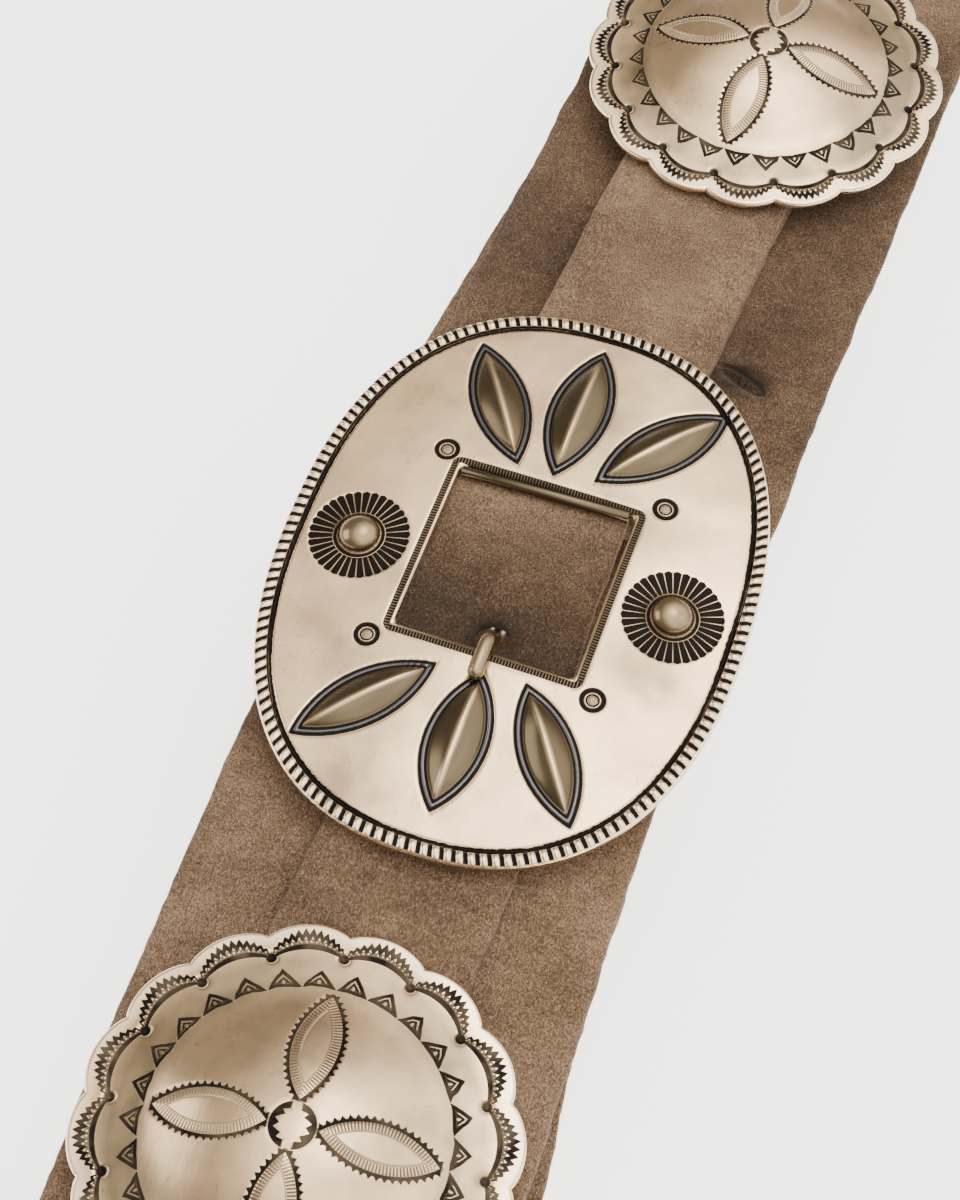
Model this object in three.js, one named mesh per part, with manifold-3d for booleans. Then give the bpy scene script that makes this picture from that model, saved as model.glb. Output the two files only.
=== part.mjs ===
// Concho belt, closed and laid flat: millimetres, +Z up, +Y along the belt, +X across it.
// A wide suede backing strap and a narrow suede carrier strap run round the whole belt.
// Seven silver conchos ride on the carrier by loops on their backs, and an oval silver
// buckle closes it with a wire tongue.

import * as THREE from 'three';
import { mergeVertices } from 'three/addons/utils/BufferGeometryUtils.js';
import Module from 'manifold-3d';

const wasm = await Module();
wasm.setup();

// Straps
const backingWidth = 80;
const backingThickness = 2;
const carrierWidth = 38;
const carrierThickness = 1.8;
const seatGap = 0.3;

// How the closed belt lies: two runs joined by two folds
const firstConchoStation = 141;
const lastConchoStation = 118;
const upperPitch = 119;
const lowerRunConchos = 4;
const foldMargin = 2.5;
const foldRadius = 12.5;

// Conchos
const conchoRadius = 39.5;
const lobeDepth = 1.8;
const lobeCount = 16;
const conchoSheet = 1.2;
const conchoLip = 1.6;
const lipRise = 0.35;
const domeRadius = 26.5;
const domeHeight = 6.8;
const bandRise = 1.9;
const bandRadius = 37;
const facetRadius = 3.5;
const loopStripWidth = 8;
const loopStripThickness = 1;
const loopLegThickness = 1.2;
const loopSideGap = 0.8;

// Buckle plate
const buckleHalfWidth = 46.8;
const buckleHalfLength = 62.2;
const ovalPower = 2.35;
const plateSheet = 1.6;
const plateCrown = 2.5;
const rimWidth = 2.8;
const rimRise = 0.9;
const grooveWidth = 1.2;
const grooveDepth = 0.4;
const openingHalfWidth = 18.3;
const openingHalfLength = 19.1;
const openingCorner = 2.5;
const openingBorder = 1.8;
const curlRadius = 1.05;
const petalRidge = 2.2;
const petalSink = 0.8;
const petalLift = 0.15;
const bossRadius = 4.3;
const bossHeight = 2.9;

// Heel bar and tongue
const barStation = 23;
const barRadius = 1.5;
const postThickness = 2.4;
const postSideGap = 0.6;
const wireRadius = 1.6;
const wireSides = 10;
const eyeTurn = 240;
const tongueReach = 26.5;
const holeStation = 14.8;
const holeRadius = 3.5;
const slotSideGap = 1;

// Hidden ends of the straps, and the slit beside the tail
const backingEndHigh = 30;
const backingEndLow = 26;
const flapEnd = 46;
const tailEnd = 160;
const slitStation = 64.4;
const slitSide = 22.4;
const slitLength = 12;
const slitWidth = 3.6;
const slitTurn = -0.33;

// Finishes
const silver = { color: 0xcfc6b8, roughness: 0.28, metalness: 1 };
const suede = { color: 0x7d6552, roughness: 0.95, metalness: 0 };

// Side shift of the two straps round the loop, from the low end of the upper run.
// Columns: share of the loop, backing shift as a share of the backing width,
// carrier shift as a share of the backing width.
const sideShiftRows = [
  [0.000, 0.075, 0.075],
  [0.042, 0.044, 0.044],
  [0.099, 0.004, 0.004],
  [0.160, -0.019, -0.019],
  [0.197, -0.016, -0.014],
  [0.219, -0.015, 0.003],
  [0.250, -0.004, 0.000],
  [0.278, 0.028, 0.000],
  [0.304, 0.056, 0.000],
  [0.312, 0.064, 0.000],
  [0.342, 0.085, 0.050],
  [0.378, 0.118, 0.092],
  [0.419, 0.158, 0.156],
  [0.461, 0.178, 0.178],
  [0.481, 0.175, 0.175],
  [0.500, 0.163, 0.163],
  [0.541, 0.100, 0.100],
  [0.606, -0.019, -0.019],
  [0.668, -0.088, -0.088],
  [0.730, -0.066, -0.066],
  [0.765, -0.031, -0.031],
  [0.794, 0.000, 0.000],
  [0.854, 0.060, 0.060],
  [0.920, 0.095, 0.095],
  [0.962, 0.098, 0.098],
  [0.981, 0.090, 0.090],
];
const backingColumn = 1;
const carrierColumn = 2;

// How far each concho is turned on the strap, in radians, and the straps in its loop.
// Columns: turn, number of strap layers that its loop holds.
const conchoRows = [
  [-0.02, 2],
  [0.04, 1],
  [-0.05, 1],
  [0.02, 1],
  [-0.03, 1],
  [0.05, 1],
  [0.08, 1],
];

// Raised petals of the buckle, each from its root by the opening to its tip by the rim.
// Columns: root across, root along, tip across, tip along, width. The places are shares
// of the buckle's half width and half length, the width is a share of the half width.
const petalRows = [
  [-0.158, 0.379, -0.491, 0.801, 0.239],
  [0.009, 0.373, 0.028, 0.891, 0.256],
  [0.192, 0.392, 0.630, 0.777, 0.248],
  [-0.177, -0.399, -0.628, -0.738, 0.231],
  [0.019, -0.386, 0.011, -0.852, 0.252],
  [0.209, -0.381, 0.549, -0.772, 0.231],
];

// Middles of the two rosettes, as shares of the buckle's half width and half length.
// Columns: across, along.
const rosetteRows = [
  [-0.679, -0.029],
  [0.677, -0.006],
];

// Shares of the dome radius where the dome has a ring of corners
const domeRingShares = [0.38, 0.66, 0.87, 1];
const rimCorners = lobeCount * 3;
const domeCorners = rimCorners / 2;
const plateCorners = 72;

// Heights above the middle of the backing strap
const backingTop = backingThickness / 2;
const layer = carrierThickness + seatGap;
const carrierHeight = backingTop + seatGap + carrierThickness / 2;
const tailHeight = carrierHeight + layer;
const loopLift = loopStripThickness + seatGap;
const conchoSeat = backingTop + seatGap + loopStripThickness + seatGap + layer;
const plateSeat = backingTop + seatGap + 2 * layer;
const barHeight = carrierHeight - carrierThickness / 2 - seatGap - barRadius;
const wrapRadius = barRadius + seatGap + carrierThickness / 2;
const eyeRadius = barRadius + seatGap + wireRadius;

// Rise of a concho over its rim, at a distance from its centre: a dome that stands on a
// band which slopes down to the rim
function domeRise(distance) {
  const share = Math.min(distance / domeRadius, 1);
  const slope = Math.min(Math.max((bandRadius - distance) / (bandRadius - domeRadius), 0), 1);
  return bandRise * slope + domeHeight * (1 - share * share) ** 1.15;
}

const conchoTop = conchoSheet + domeRise(facetRadius);
const edgeRoom = conchoRadius + foldMargin;
const runHigh = firstConchoStation + edgeRoom;
const runLow = -(lastConchoStation + upperPitch + edgeRoom);
const runLength = runHigh - runLow;
const foldLength = Math.PI * foldRadius;
const loopLength = 2 * (runLength + foldLength);
const lowerRunHeight = conchoSeat + conchoTop;
const foldHeight = lowerRunHeight + foldRadius;
const upperRunHeight = foldHeight + foldRadius;

// Value of a table column at a place on the loop, on a smooth closed curve
function tableValue(rows, column, station) {
  const share = (((station - runLow) / loopLength) % 1 + 1) % 1;
  const count = rows.length;
  let low = count - 1;
  while (low > 0 && rows[low][0] > share) low -= 1;
  const row = (i) => rows[((i % count) + count) % count];
  const place = (i) => row(i)[0] + Math.floor(i / count);
  const slope = (i) => (row(i + 1)[column] - row(i - 1)[column]) / (place(i + 1) - place(i - 1));
  const span = place(low + 1) - place(low);
  const t = (share - place(low)) / span;
  const a = row(low)[column];
  const b = row(low + 1)[column];
  const steep = t * t * (3 - 2 * t);
  const bend = t * (1 - t);
  return a + (b - a) * steep + span * bend * ((1 - t) * slope(low) - t * slope(low + 1));
}

function sideShift(column, station) {
  return backingWidth * tableValue(sideShiftRows, column, station);
}

// Middle of the belt at a place on the loop, with its direction and its outward normal
function beltFrame(station) {
  const travelled = (((station - runLow) % loopLength) + loopLength) % loopLength;
  const point = new THREE.Vector3();
  const along = new THREE.Vector3();
  const out = new THREE.Vector3();
  if (travelled < runLength) {
    point.set(0, runLow + travelled, upperRunHeight);
    along.set(0, 1, 0);
    out.set(0, 0, 1);
  } else if (travelled < runLength + foldLength) {
    const angle = (travelled - runLength) / foldRadius;
    out.set(0, Math.sin(angle), Math.cos(angle));
    along.set(0, Math.cos(angle), -Math.sin(angle));
    point.set(0, runHigh, foldHeight).addScaledVector(out, foldRadius);
  } else if (travelled < 2 * runLength + foldLength) {
    point.set(0, runHigh - (travelled - runLength - foldLength), lowerRunHeight);
    along.set(0, -1, 0);
    out.set(0, 0, -1);
  } else {
    const angle = (travelled - 2 * runLength - foldLength) / foldRadius;
    out.set(0, -Math.sin(angle), -Math.cos(angle));
    along.set(0, -Math.cos(angle), Math.sin(angle));
    point.set(0, runLow, foldHeight).addScaledVector(out, foldRadius);
  }
  return { point, along, out };
}

// The same, moved sideways with a strap and turned into its heading
function strapFrame(column, station) {
  const step = 1;
  const frame = beltFrame(station);
  const shift = sideShift(column, station);
  const heading = (sideShift(column, station + step) - sideShift(column, station - step)) / (2 * step);
  const across = new THREE.Vector3(1, 0, 0).addScaledVector(frame.along, -heading).normalize();
  frame.along.addScaledVector(new THREE.Vector3(1, 0, 0), heading).normalize();
  frame.point.x += shift;
  return { ...frame, across };
}

// A closed skin through rings of points, each ring a single point, or as many points as
// its neighbour, or half or twice as many. The faces are turned to point outward.
function skin(rings) {
  const points = rings.flat();
  const starts = [];
  let total = 0;
  for (const ring of rings) {
    starts.push(total);
    total += ring.length;
  }
  const index = [];
  for (let r = 0; r + 1 < rings.length; r += 1) {
    const steps = Math.max(rings[r].length, rings[r + 1].length);
    const at = (ring, i) => starts[ring] + Math.floor((i * rings[ring].length) / steps) % rings[ring].length;
    for (let i = 0; i < steps; i += 1) {
      const [a0, a1, b0, b1] = [at(r, i), at(r, i + 1), at(r + 1, i), at(r + 1, i + 1)];
      if (a0 !== a1) index.push(a0, b0, a1);
      if (b0 !== b1) index.push(a1, b0, b1);
    }
  }
  const geometry = new THREE.BufferGeometry().setFromPoints(points);
  geometry.setIndex(signedVolume(points, index) < 0 ? index.reverse() : index);
  return geometry;
}

function signedVolume(points, index) {
  let volume = 0;
  for (let i = 0; i < index.length; i += 3) {
    const [a, b, c] = [points[index[i]], points[index[i + 1]], points[index[i + 2]]];
    volume += a.dot(b.clone().cross(c)) / 6;
  }
  return volume;
}

// A ring with its middle point added before or after it, to cap an end
const middleOf = (ring) => ring.reduce((sum, p) => sum.add(p), new THREE.Vector3()).divideScalar(ring.length);
const capped = (rings) => [[middleOf(rings[0])], ...rings, [middleOf(rings.at(-1))]];

// Booleans
function solidOf(geometry) {
  const bare = geometry.clone();
  bare.deleteAttribute('normal');
  bare.deleteAttribute('uv');
  const merged = mergeVertices(bare, 1e-4);
  const vertProperties = Float32Array.from(merged.attributes.position.array);
  const triVerts = Uint32Array.from(merged.index.array);
  return new wasm.Manifold(new wasm.Mesh({ numProp: 3, vertProperties, triVerts }));
}

function geometryOf(solid) {
  const mesh = solid.getMesh();
  const geometry = new THREE.BufferGeometry();
  geometry.setAttribute('position', new THREE.BufferAttribute(Float32Array.from(mesh.vertProperties), 3));
  geometry.setIndex(Array.from(mesh.triVerts));
  return geometry;
}

const joined = (first, ...others) => others.reduce((sum, next) => sum.add(solidOf(next)), solidOf(first));
const cut = (first, ...others) => others.reduce((rest, next) => rest.subtract(solidOf(next)), solidOf(first));

// A box between two corners
function block(low, high) {
  const size = high.map((value, i) => value - low[i]);
  return new THREE.BoxGeometry(...size).translate(...low.map((value, i) => value + size[i] / 2));
}

// Strap of rectangular section along a route of [station, height over the backing's middle]
function strap(route, column, width, thickness) {
  const placed = route.map(([station, height]) => {
    const { point, across, out } = strapFrame(column, station);
    return { centre: point.clone().addScaledVector(out, height), across };
  });
  const rings = placed.map(({ centre, across }, i) => {
    const before = placed[Math.max(i - 1, 0)].centre;
    const after = placed[Math.min(i + 1, placed.length - 1)].centre;
    const along = after.clone().sub(before).normalize();
    const face = new THREE.Vector3().crossVectors(across, along).normalize().multiplyScalar(thickness / 2);
    const side = across.clone().multiplyScalar(width / 2);
    return [[-1, -1], [1, -1], [1, 1], [-1, 1]].map(([s, f]) => (
      centre.clone().addScaledVector(side, s).addScaledVector(face, f)));
  });
  return skin(capped(rings));
}

// Stations from one place to another: close together in the folds, wider on the runs
function stations(from, to) {
  const runStep = 30;
  const foldSteps = 10;
  const marks = [from, to];
  for (let lap = -1; lap <= 1; lap += 1) {
    const start = runLow + lap * loopLength;
    const half = runLength + foldLength;
    for (const run of [start, start + half]) {
      const steps = Math.round(runLength / runStep);
      for (let i = 0; i <= steps; i += 1) marks.push(run + (runLength * i) / steps);
      for (let i = 1; i < foldSteps; i += 1) marks.push(run + runLength + (foldLength * i) / foldSteps);
    }
  }
  return marks.filter((mark) => mark >= from && mark <= to).sort((a, b) => a - b);
}

// Where the conchos sit round the loop, from the buckle's high side
const lowerRunStart = runHigh + foldLength;
const lowerPitch = (runLength - 2 * edgeRoom) / (lowerRunConchos - 1);
const conchoStations = [
  firstConchoStation,
  ...Array.from({ length: lowerRunConchos }, (_, i) => lowerRunStart + edgeRoom + i * lowerPitch),
  loopLength - lastConchoStation - upperPitch,
  loopLength - lastConchoStation,
];

// Height that the loops lift a strap to, at a station
function loopRise(station) {
  const ramp = 12;
  const level = loopStripWidth / 2 + 1;
  const nearest = Math.min(...conchoStations.flatMap((at) => [
    Math.abs(station - at), Math.abs(station - loopLength - at)]));
  return loopLift * Math.min(Math.max((ramp + level - nearest) / ramp, 0), 1);
}

// Buckle plate: share of the way out to the oval rim, and heights over the plate's seat
const ovalShare = (x, y) => (
  (Math.abs(x / buckleHalfWidth) ** ovalPower + Math.abs(y / buckleHalfLength) ** ovalPower) ** (1 / ovalPower));
const plateUnder = (x, y) => plateCrown * (1 - Math.min(ovalShare(x, y), 1) ** 2);
const plateTop = (x, y) => plateSheet + plateUnder(x, y);

function ovalPoint(angle) {
  const [x, y] = [Math.cos(angle), Math.sin(angle)];
  return new THREE.Vector2(x, y).multiplyScalar(1 / ovalShare(x, y));
}

// Point of the opening's round-cornered outline in a direction from the centre
function openingPoint(angle) {
  const ray = new THREE.Vector2(Math.cos(angle), Math.sin(angle));
  const toSide = Math.min(openingHalfWidth / Math.abs(ray.x || 1e-9), openingHalfLength / Math.abs(ray.y || 1e-9));
  const hit = ray.clone().multiplyScalar(toSide);
  const inner = new THREE.Vector2(openingHalfWidth - openingCorner, openingHalfLength - openingCorner);
  if (Math.abs(hit.x) <= inner.x || Math.abs(hit.y) <= inner.y) return hit;
  inner.set(inner.x * Math.sign(ray.x), inner.y * Math.sign(ray.y));
  const reach = ray.dot(inner);
  const inside = openingCorner ** 2 - (inner.lengthSq() - reach * reach);
  return ray.multiplyScalar(reach + Math.sqrt(Math.max(inside, 0)));
}

// One ring of the plate, at a share of the way from the opening to the rim, moved in or
// out by a distance, at its own height over the crown
function plateRing(share, distance, height) {
  return Array.from({ length: plateCorners }, (_, i) => {
    const angle = (2 * Math.PI * i) / plateCorners;
    const inner = openingPoint(angle);
    const outer = ovalPoint(angle);
    const at = inner.clone().lerp(outer, share + distance / inner.distanceTo(outer));
    return new THREE.Vector3(at.x, at.y, plateUnder(at.x, at.y) + height);
  });
}

function plate() {
  const grooveEdge = rimWidth + grooveWidth;
  const rings = [
    plateRing(0, 0, plateSheet),
    plateRing(0, openingBorder, plateSheet),
    plateRing(0.35, 0, plateSheet),
    plateRing(0.65, 0, plateSheet),
    plateRing(1, -grooveEdge, plateSheet),
    plateRing(1, -rimWidth - grooveWidth / 2, plateSheet - grooveDepth),
    plateRing(1, -rimWidth, plateSheet + rimRise / 2),
    plateRing(1, -rimWidth / 2, plateSheet + rimRise),
    plateRing(1, 0, plateSheet),
    plateRing(1, 0, 0),
    plateRing(0.6, 0, 0),
    plateRing(0, 0, 0),
  ];
  return skin([...rings, rings[0]]);
}

// Raised almond petal with a ridge along its middle
function petal([rootX, rootY, tipX, tipY, widthShare]) {
  const root = new THREE.Vector2(rootX * buckleHalfWidth, rootY * buckleHalfLength);
  const tip = new THREE.Vector2(tipX * buckleHalfWidth, tipY * buckleHalfLength);
  const along = tip.clone().sub(root).normalize();
  const across = new THREE.Vector2(-along.y, along.x);
  const steps = 8;
  const columns = [[-1, -petalSink], [-1, petalLift], [-0.5, 0.6], [0, 1], [0.5, 0.6], [1, petalLift], [1, -petalSink]];
  const rings = [];
  for (let i = 1; i < steps; i += 1) {
    const swell = Math.sin((Math.PI * i) / steps);
    const halfWidth = (widthShare * buckleHalfWidth * swell ** 0.85) / 2;
    rings.push(columns.map(([side, height]) => {
      const at = root.clone().lerp(tip, i / steps).addScaledVector(across, side * halfWidth);
      const rise = Math.abs(side) === 1 ? height : height * petalRidge * swell ** 0.5;
      return new THREE.Vector3(at.x, at.y, plateTop(at.x, at.y) + rise);
    }));
  }
  const end = (at) => [new THREE.Vector3(at.x, at.y, plateTop(at.x, at.y))];
  return skin([end(root), ...rings, end(tip)]);
}

// Domed boss in the middle of a rosette
function boss([acrossShare, alongShare]) {
  const across = acrossShare * buckleHalfWidth;
  const along = alongShare * buckleHalfLength;
  const base = plateTop(across, along);
  const profile = [new THREE.Vector2(0, base - petalSink)];
  const steps = 4;
  profile.push(new THREE.Vector2(bossRadius, base - petalSink));
  for (let i = 0; i <= steps; i += 1) {
    const angle = (Math.PI * i) / (2 * steps);
    profile.push(new THREE.Vector2(i === steps ? 0 : bossRadius * Math.cos(angle), base + bossHeight * Math.sin(angle)));
  }
  return new THREE.LatheGeometry(profile, 14).rotateX(Math.PI / 2).translate(across, along, 0);
}

// Smooth curl along the opening's high edge, and the bar that carries the strap and tongue
function heelBar() {
  const curlLength = 2 * (openingHalfWidth - openingCorner);
  const curlHeight = plateTop(0, openingHalfLength) - curlRadius;
  const curl = new THREE.CylinderGeometry(curlRadius, curlRadius, curlLength, 8)
    .rotateZ(Math.PI / 2).translate(0, openingHalfLength + curlRadius / 2, curlHeight);
  const inner = carrierWidth / 2 + postSideGap;
  const outer = inner + postThickness;
  const height = barHeight - plateSeat;
  const bar = new THREE.CylinderGeometry(barRadius, barRadius, inner + outer, 12)
    .rotateZ(Math.PI / 2).translate(0, barStation, height);
  const posts = [-1, 1].map((side) => block(
    [side > 0 ? inner : -outer, barStation - postThickness / 2, height - barRadius],
    [side > 0 ? outer : -inner, barStation + postThickness / 2, plateUnder(outer, barStation) + plateSheet / 2],
  ));
  return [curl, bar, ...posts];
}

function buckleGeometry() {
  const petals = petalRows.map(petal);
  return geometryOf(joined(plate(), ...petals, ...rosetteRows.map(boss), ...heelBar()));
}

// Wire tongue: an eye round the bar, a shank under the strap, up through the hole and
// over the low edge of the opening. Points are [along the belt, height over the seat].
function tongueRoute() {
  const bar = barHeight - plateSeat;
  const eyeSteps = 8;
  const points = [];
  for (let i = 0; i <= eyeSteps; i += 1) {
    const angle = Math.PI / 2 - (eyeTurn * (1 - i / eyeSteps) * Math.PI) / 180;
    points.push([barStation + eyeRadius * Math.cos(angle), bar + eyeRadius * Math.sin(angle)]);
  }
  const shank = bar + eyeRadius;
  const edgeTop = plateTop(0, openingHalfLength);
  const over = edgeTop + seatGap + wireRadius;
  points.push([-holeStation + 8, shank]);
  points.push([-holeStation + 4, shank + 0.2]);
  points.push([-holeStation + 1.6, shank + 1.3]);
  points.push([-holeStation - 0.2, (shank + over) / 2 - 0.6]);
  points.push([-holeStation - 1.7, over - 2]);
  points.push([-openingHalfLength + 1.2, over - 0.2]);
  points.push([-openingHalfLength - 1.4, over + 0.3]);
  points.push([-(openingHalfLength + tongueReach) / 2 - 0.6, over + 0.2]);
  points.push([-tongueReach + wireRadius, over]);
  points.push([-tongueReach, over - 0.1]);
  return points;
}

function tongueGeometry() {
  const route = tongueRoute();
  const rings = route.map(([y, z], i) => {
    const [y0, z0] = route[Math.max(i - 1, 0)];
    const [y1, z1] = route[Math.min(i + 1, route.length - 1)];
    const normal = new THREE.Vector3(0, z0 - z1, y1 - y0).normalize();
    const radius = i === route.length - 1 ? wireRadius * 0.55 : wireRadius;
    return Array.from({ length: wireSides }, (_, k) => {
      const angle = (2 * Math.PI * k) / wireSides;
      return new THREE.Vector3(radius * Math.cos(angle), y, z).addScaledVector(normal, radius * Math.sin(angle));
    });
  });
  return skin(capped(rings));
}

// Radius of a concho's scalloped edge in a direction: lobes between notches
function scallop(angle) {
  const lobe = Math.abs(Math.sin((angle * lobeCount) / 2));
  return conchoRadius - lobeDepth * (1 - lobe ** 0.7);
}

function conchoRing(corners, radiusAt, height) {
  return Array.from({ length: corners }, (_, i) => {
    const angle = (2 * Math.PI * i) / corners;
    const radius = radiusAt(angle);
    return new THREE.Vector3(radius * Math.cos(angle), radius * Math.sin(angle), height);
  });
}

// Domed plate of a concho, with its underside at the rim at height 0
function conchoPlate() {
  const dome = (share, lift) => (
    conchoRing(domeCorners, () => share * domeRadius, domeRise(share * domeRadius) + lift));
  const rim = (inset, height) => conchoRing(rimCorners, (angle) => scallop(angle) - inset, height);
  const notchRing = (domeRadius + conchoRadius - lobeDepth) / 2;
  return skin([
    [new THREE.Vector3(0, 0, conchoTop)],
    dome(facetRadius / domeRadius, conchoSheet),
    ...domeRingShares.map((share) => dome(share, conchoSheet)),
    conchoRing(rimCorners, () => notchRing, domeRise(notchRing) + conchoSheet),
    rim(conchoLip, conchoSheet + lipRise),
    rim(0, conchoSheet - lipRise),
    rim(lipRise, 0),
    conchoRing(rimCorners, () => notchRing, domeRise(notchRing)),
    dome(1, 0),
    dome(domeRingShares[1], 0),
    [new THREE.Vector3(0, 0, domeRise(0))],
  ]);
}

// Loop on a concho's back: a strip under the strap and a leg on each side of it
function conchoLoop(straps) {
  const inner = carrierWidth / 2 + loopSideGap;
  const outer = inner + loopLegThickness;
  const stripTop = -seatGap - straps * layer;
  const half = loopStripWidth / 2;
  const legTop = domeRise((inner + outer) / 2) + conchoSheet / 2;
  const strip = block([-outer, -half, stripTop - loopStripThickness], [outer, half, stripTop]);
  const legs = [-1, 1].map((side) => block(
    [side > 0 ? inner : -outer, -half, stripTop - loopStripThickness],
    [side > 0 ? outer : -inner, half, legTop],
  ));
  return [strip, ...legs];
}

// The backing's two hidden ends lie under the buckle, and it is slit beside the tail
function backingGeometry() {
  const route = stations(backingEndHigh, loopLength - backingEndLow).map((station) => [station, 0]);
  const band = strap(route, backingColumn, backingWidth, backingThickness);
  const { point, across, along, out } = strapFrame(backingColumn, slitStation);
  const deep = 3 * backingThickness;
  const ends = [-1, 1].map((side) => (
    new THREE.CylinderGeometry(slitWidth / 2, slitWidth / 2, deep, 12)
      .rotateX(Math.PI / 2).translate((side * (slitLength - slitWidth)) / 2, 0, 0)));
  const middle = block([-(slitLength - slitWidth) / 2, -slitWidth / 2, -deep / 2],
    [(slitLength - slitWidth) / 2, slitWidth / 2, deep / 2]);
  const place = new THREE.Matrix4().makeBasis(across, along, out)
    .setPosition(point.clone().addScaledVector(across, slitSide));
  const tools = [...ends, middle].map((tool) => tool.rotateZ(slitTurn).applyMatrix4(place));
  return geometryOf(cut(band, ...tools));
}

// The carrier: a flap under the backing, round the bar, round the belt, up through the
// opening and on as the tail, which ends under the first concho
function carrierRoute() {
  const flapHeight = -backingTop - seatGap - carrierThickness / 2;
  const wrapSteps = 6;
  const route = [[flapEnd, flapHeight], [flapEnd - 10, flapHeight], [barStation + 4, barHeight - wrapRadius]];
  for (let i = 0; i <= wrapSteps; i += 1) {
    const angle = -Math.PI / 2 - (Math.PI * i) / wrapSteps;
    route.push([barStation + wrapRadius * Math.cos(angle), barHeight + wrapRadius * Math.sin(angle)]);
  }
  const buckleLow = loopLength - buckleHalfLength;
  const ramps = conchoStations.flatMap((at) => [-17, -5, 5, 17].map((step) => at + step));
  const main = [...stations(barStation + 7, buckleLow), ...ramps.filter((s) => s < buckleLow)];
  for (const station of main.sort((a, b) => a - b)) route.push([station, carrierHeight + loopRise(station)]);
  const underPlate = plateSeat + plateUnder(carrierWidth / 2, openingHalfLength + 5);
  const openingTop = underPlate - seatGap - carrierThickness / 2;
  const overEye = barHeight + eyeRadius + wireRadius + seatGap + carrierThickness / 2;
  route.push([loopLength - openingHalfLength - 5, openingTop - 0.15]);
  route.push([loopLength - openingHalfLength + 1, openingTop]);
  route.push([loopLength - 5, openingTop]);
  route.push([loopLength + openingHalfLength - 7, (openingTop + overEye) / 2]);
  route.push([loopLength + barStation + 1, overEye + 0.1]);
  route.push([loopLength + barStation + 13, tailHeight + 0.3]);
  const tailStart = barStation + 21;
  const tailMarks = [...stations(tailStart, tailEnd), firstConchoStation - 17, firstConchoStation - 5,
    firstConchoStation + 5];
  for (const station of tailMarks.sort((a, b) => a - b)) {
    route.push([loopLength + station, tailHeight + loopRise(station)]);
  }
  return route;
}

function carrierGeometry() {
  const band = strap(carrierRoute(), carrierColumn, carrierWidth, carrierThickness);
  const hole = new THREE.CylinderGeometry(holeRadius, holeRadius, 4 * carrierThickness, 20)
    .rotateX(Math.PI / 2)
    .translate(0, -holeStation, upperRunHeight + plateSeat + plateUnder(0, 0) - carrierThickness);
  const slotSide = wireRadius + slotSideGap;
  const eyeReach = eyeRadius + wireRadius + 0.6;
  const slot = block(
    [-slotSide, barStation - eyeReach, upperRunHeight + barHeight - eyeReach - 1],
    [slotSide, barStation + eyeReach, upperRunHeight + barHeight + eyeRadius + wireRadius + seatGap / 2],
  );
  return geometryOf(cut(band, hole, slot));
}

function finished(name, geometry, look) {
  const mesh = new THREE.Mesh(geometry, new THREE.MeshStandardMaterial(look));
  mesh.name = name;
  return mesh;
}

const belt = new THREE.Group();
belt.add(finished('backing_strap', backingGeometry(), suede));
belt.add(finished('carrier_strap', carrierGeometry(), suede));

const buckleGroup = new THREE.Group();
buckleGroup.position.set(0, 0, upperRunHeight + plateSeat);
buckleGroup.add(finished('buckle', buckleGeometry(), silver));
buckleGroup.add(finished('tongue', tongueGeometry(), silver));
belt.add(buckleGroup);

conchoStations.forEach((station, i) => {
  const [turn, straps] = conchoRows[i];
  const { point, across, along, out } = strapFrame(backingColumn, station);
  const concho = finished(`concho_${i + 1}`, geometryOf(joined(conchoPlate(), ...conchoLoop(straps))), silver);
  const seat = conchoSeat + (straps - 1) * layer;
  const frame = new THREE.Matrix4().makeBasis(across, along, out);
  concho.position.copy(point).addScaledVector(out, seat);
  concho.quaternion.setFromRotationMatrix(frame);
  concho.rotateZ(turn);
  belt.add(concho);
});

// The origin is under the middle of the belt, on the surface that it lies on
const outline = new THREE.Box3().setFromObject(belt, true);
const middle = outline.getCenter(new THREE.Vector3());
belt.position.set(-middle.x, -middle.y, 0);

export default belt;
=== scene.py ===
# %% [markdown]
# A concho belt is a long suede strap that carries domed and stamped silver discs, and
# it closes with a silver buckle. This lesson dresses a measured model of such a belt:
# the solids say where each piece sits, and every cell adds one piece or one finish.
# All lengths below are in millimetres until a mesh is made, because that is how a
# silversmith and a leather worker would measure them.

# %% Start from the measured frame
import bpy
import math
import numpy as np
from mathutils import Matrix, Vector


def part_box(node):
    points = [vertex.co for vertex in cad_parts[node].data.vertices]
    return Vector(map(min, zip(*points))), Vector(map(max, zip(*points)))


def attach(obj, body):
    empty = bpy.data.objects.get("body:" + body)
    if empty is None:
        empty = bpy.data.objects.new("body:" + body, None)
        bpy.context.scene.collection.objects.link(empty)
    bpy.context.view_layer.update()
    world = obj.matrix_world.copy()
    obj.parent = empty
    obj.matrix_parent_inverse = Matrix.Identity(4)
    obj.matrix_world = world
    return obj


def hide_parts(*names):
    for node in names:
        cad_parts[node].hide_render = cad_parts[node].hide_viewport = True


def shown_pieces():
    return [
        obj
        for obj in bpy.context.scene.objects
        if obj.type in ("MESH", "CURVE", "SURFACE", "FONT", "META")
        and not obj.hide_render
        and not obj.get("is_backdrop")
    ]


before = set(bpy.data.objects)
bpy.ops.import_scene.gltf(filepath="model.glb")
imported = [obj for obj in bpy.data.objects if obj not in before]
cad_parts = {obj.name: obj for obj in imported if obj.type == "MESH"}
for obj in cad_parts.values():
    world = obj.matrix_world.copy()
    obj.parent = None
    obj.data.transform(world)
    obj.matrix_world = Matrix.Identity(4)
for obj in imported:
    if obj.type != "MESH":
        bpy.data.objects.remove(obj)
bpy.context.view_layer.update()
MM = 0.001
print("nodes in the frame:", ", ".join(sorted(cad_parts)))

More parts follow.
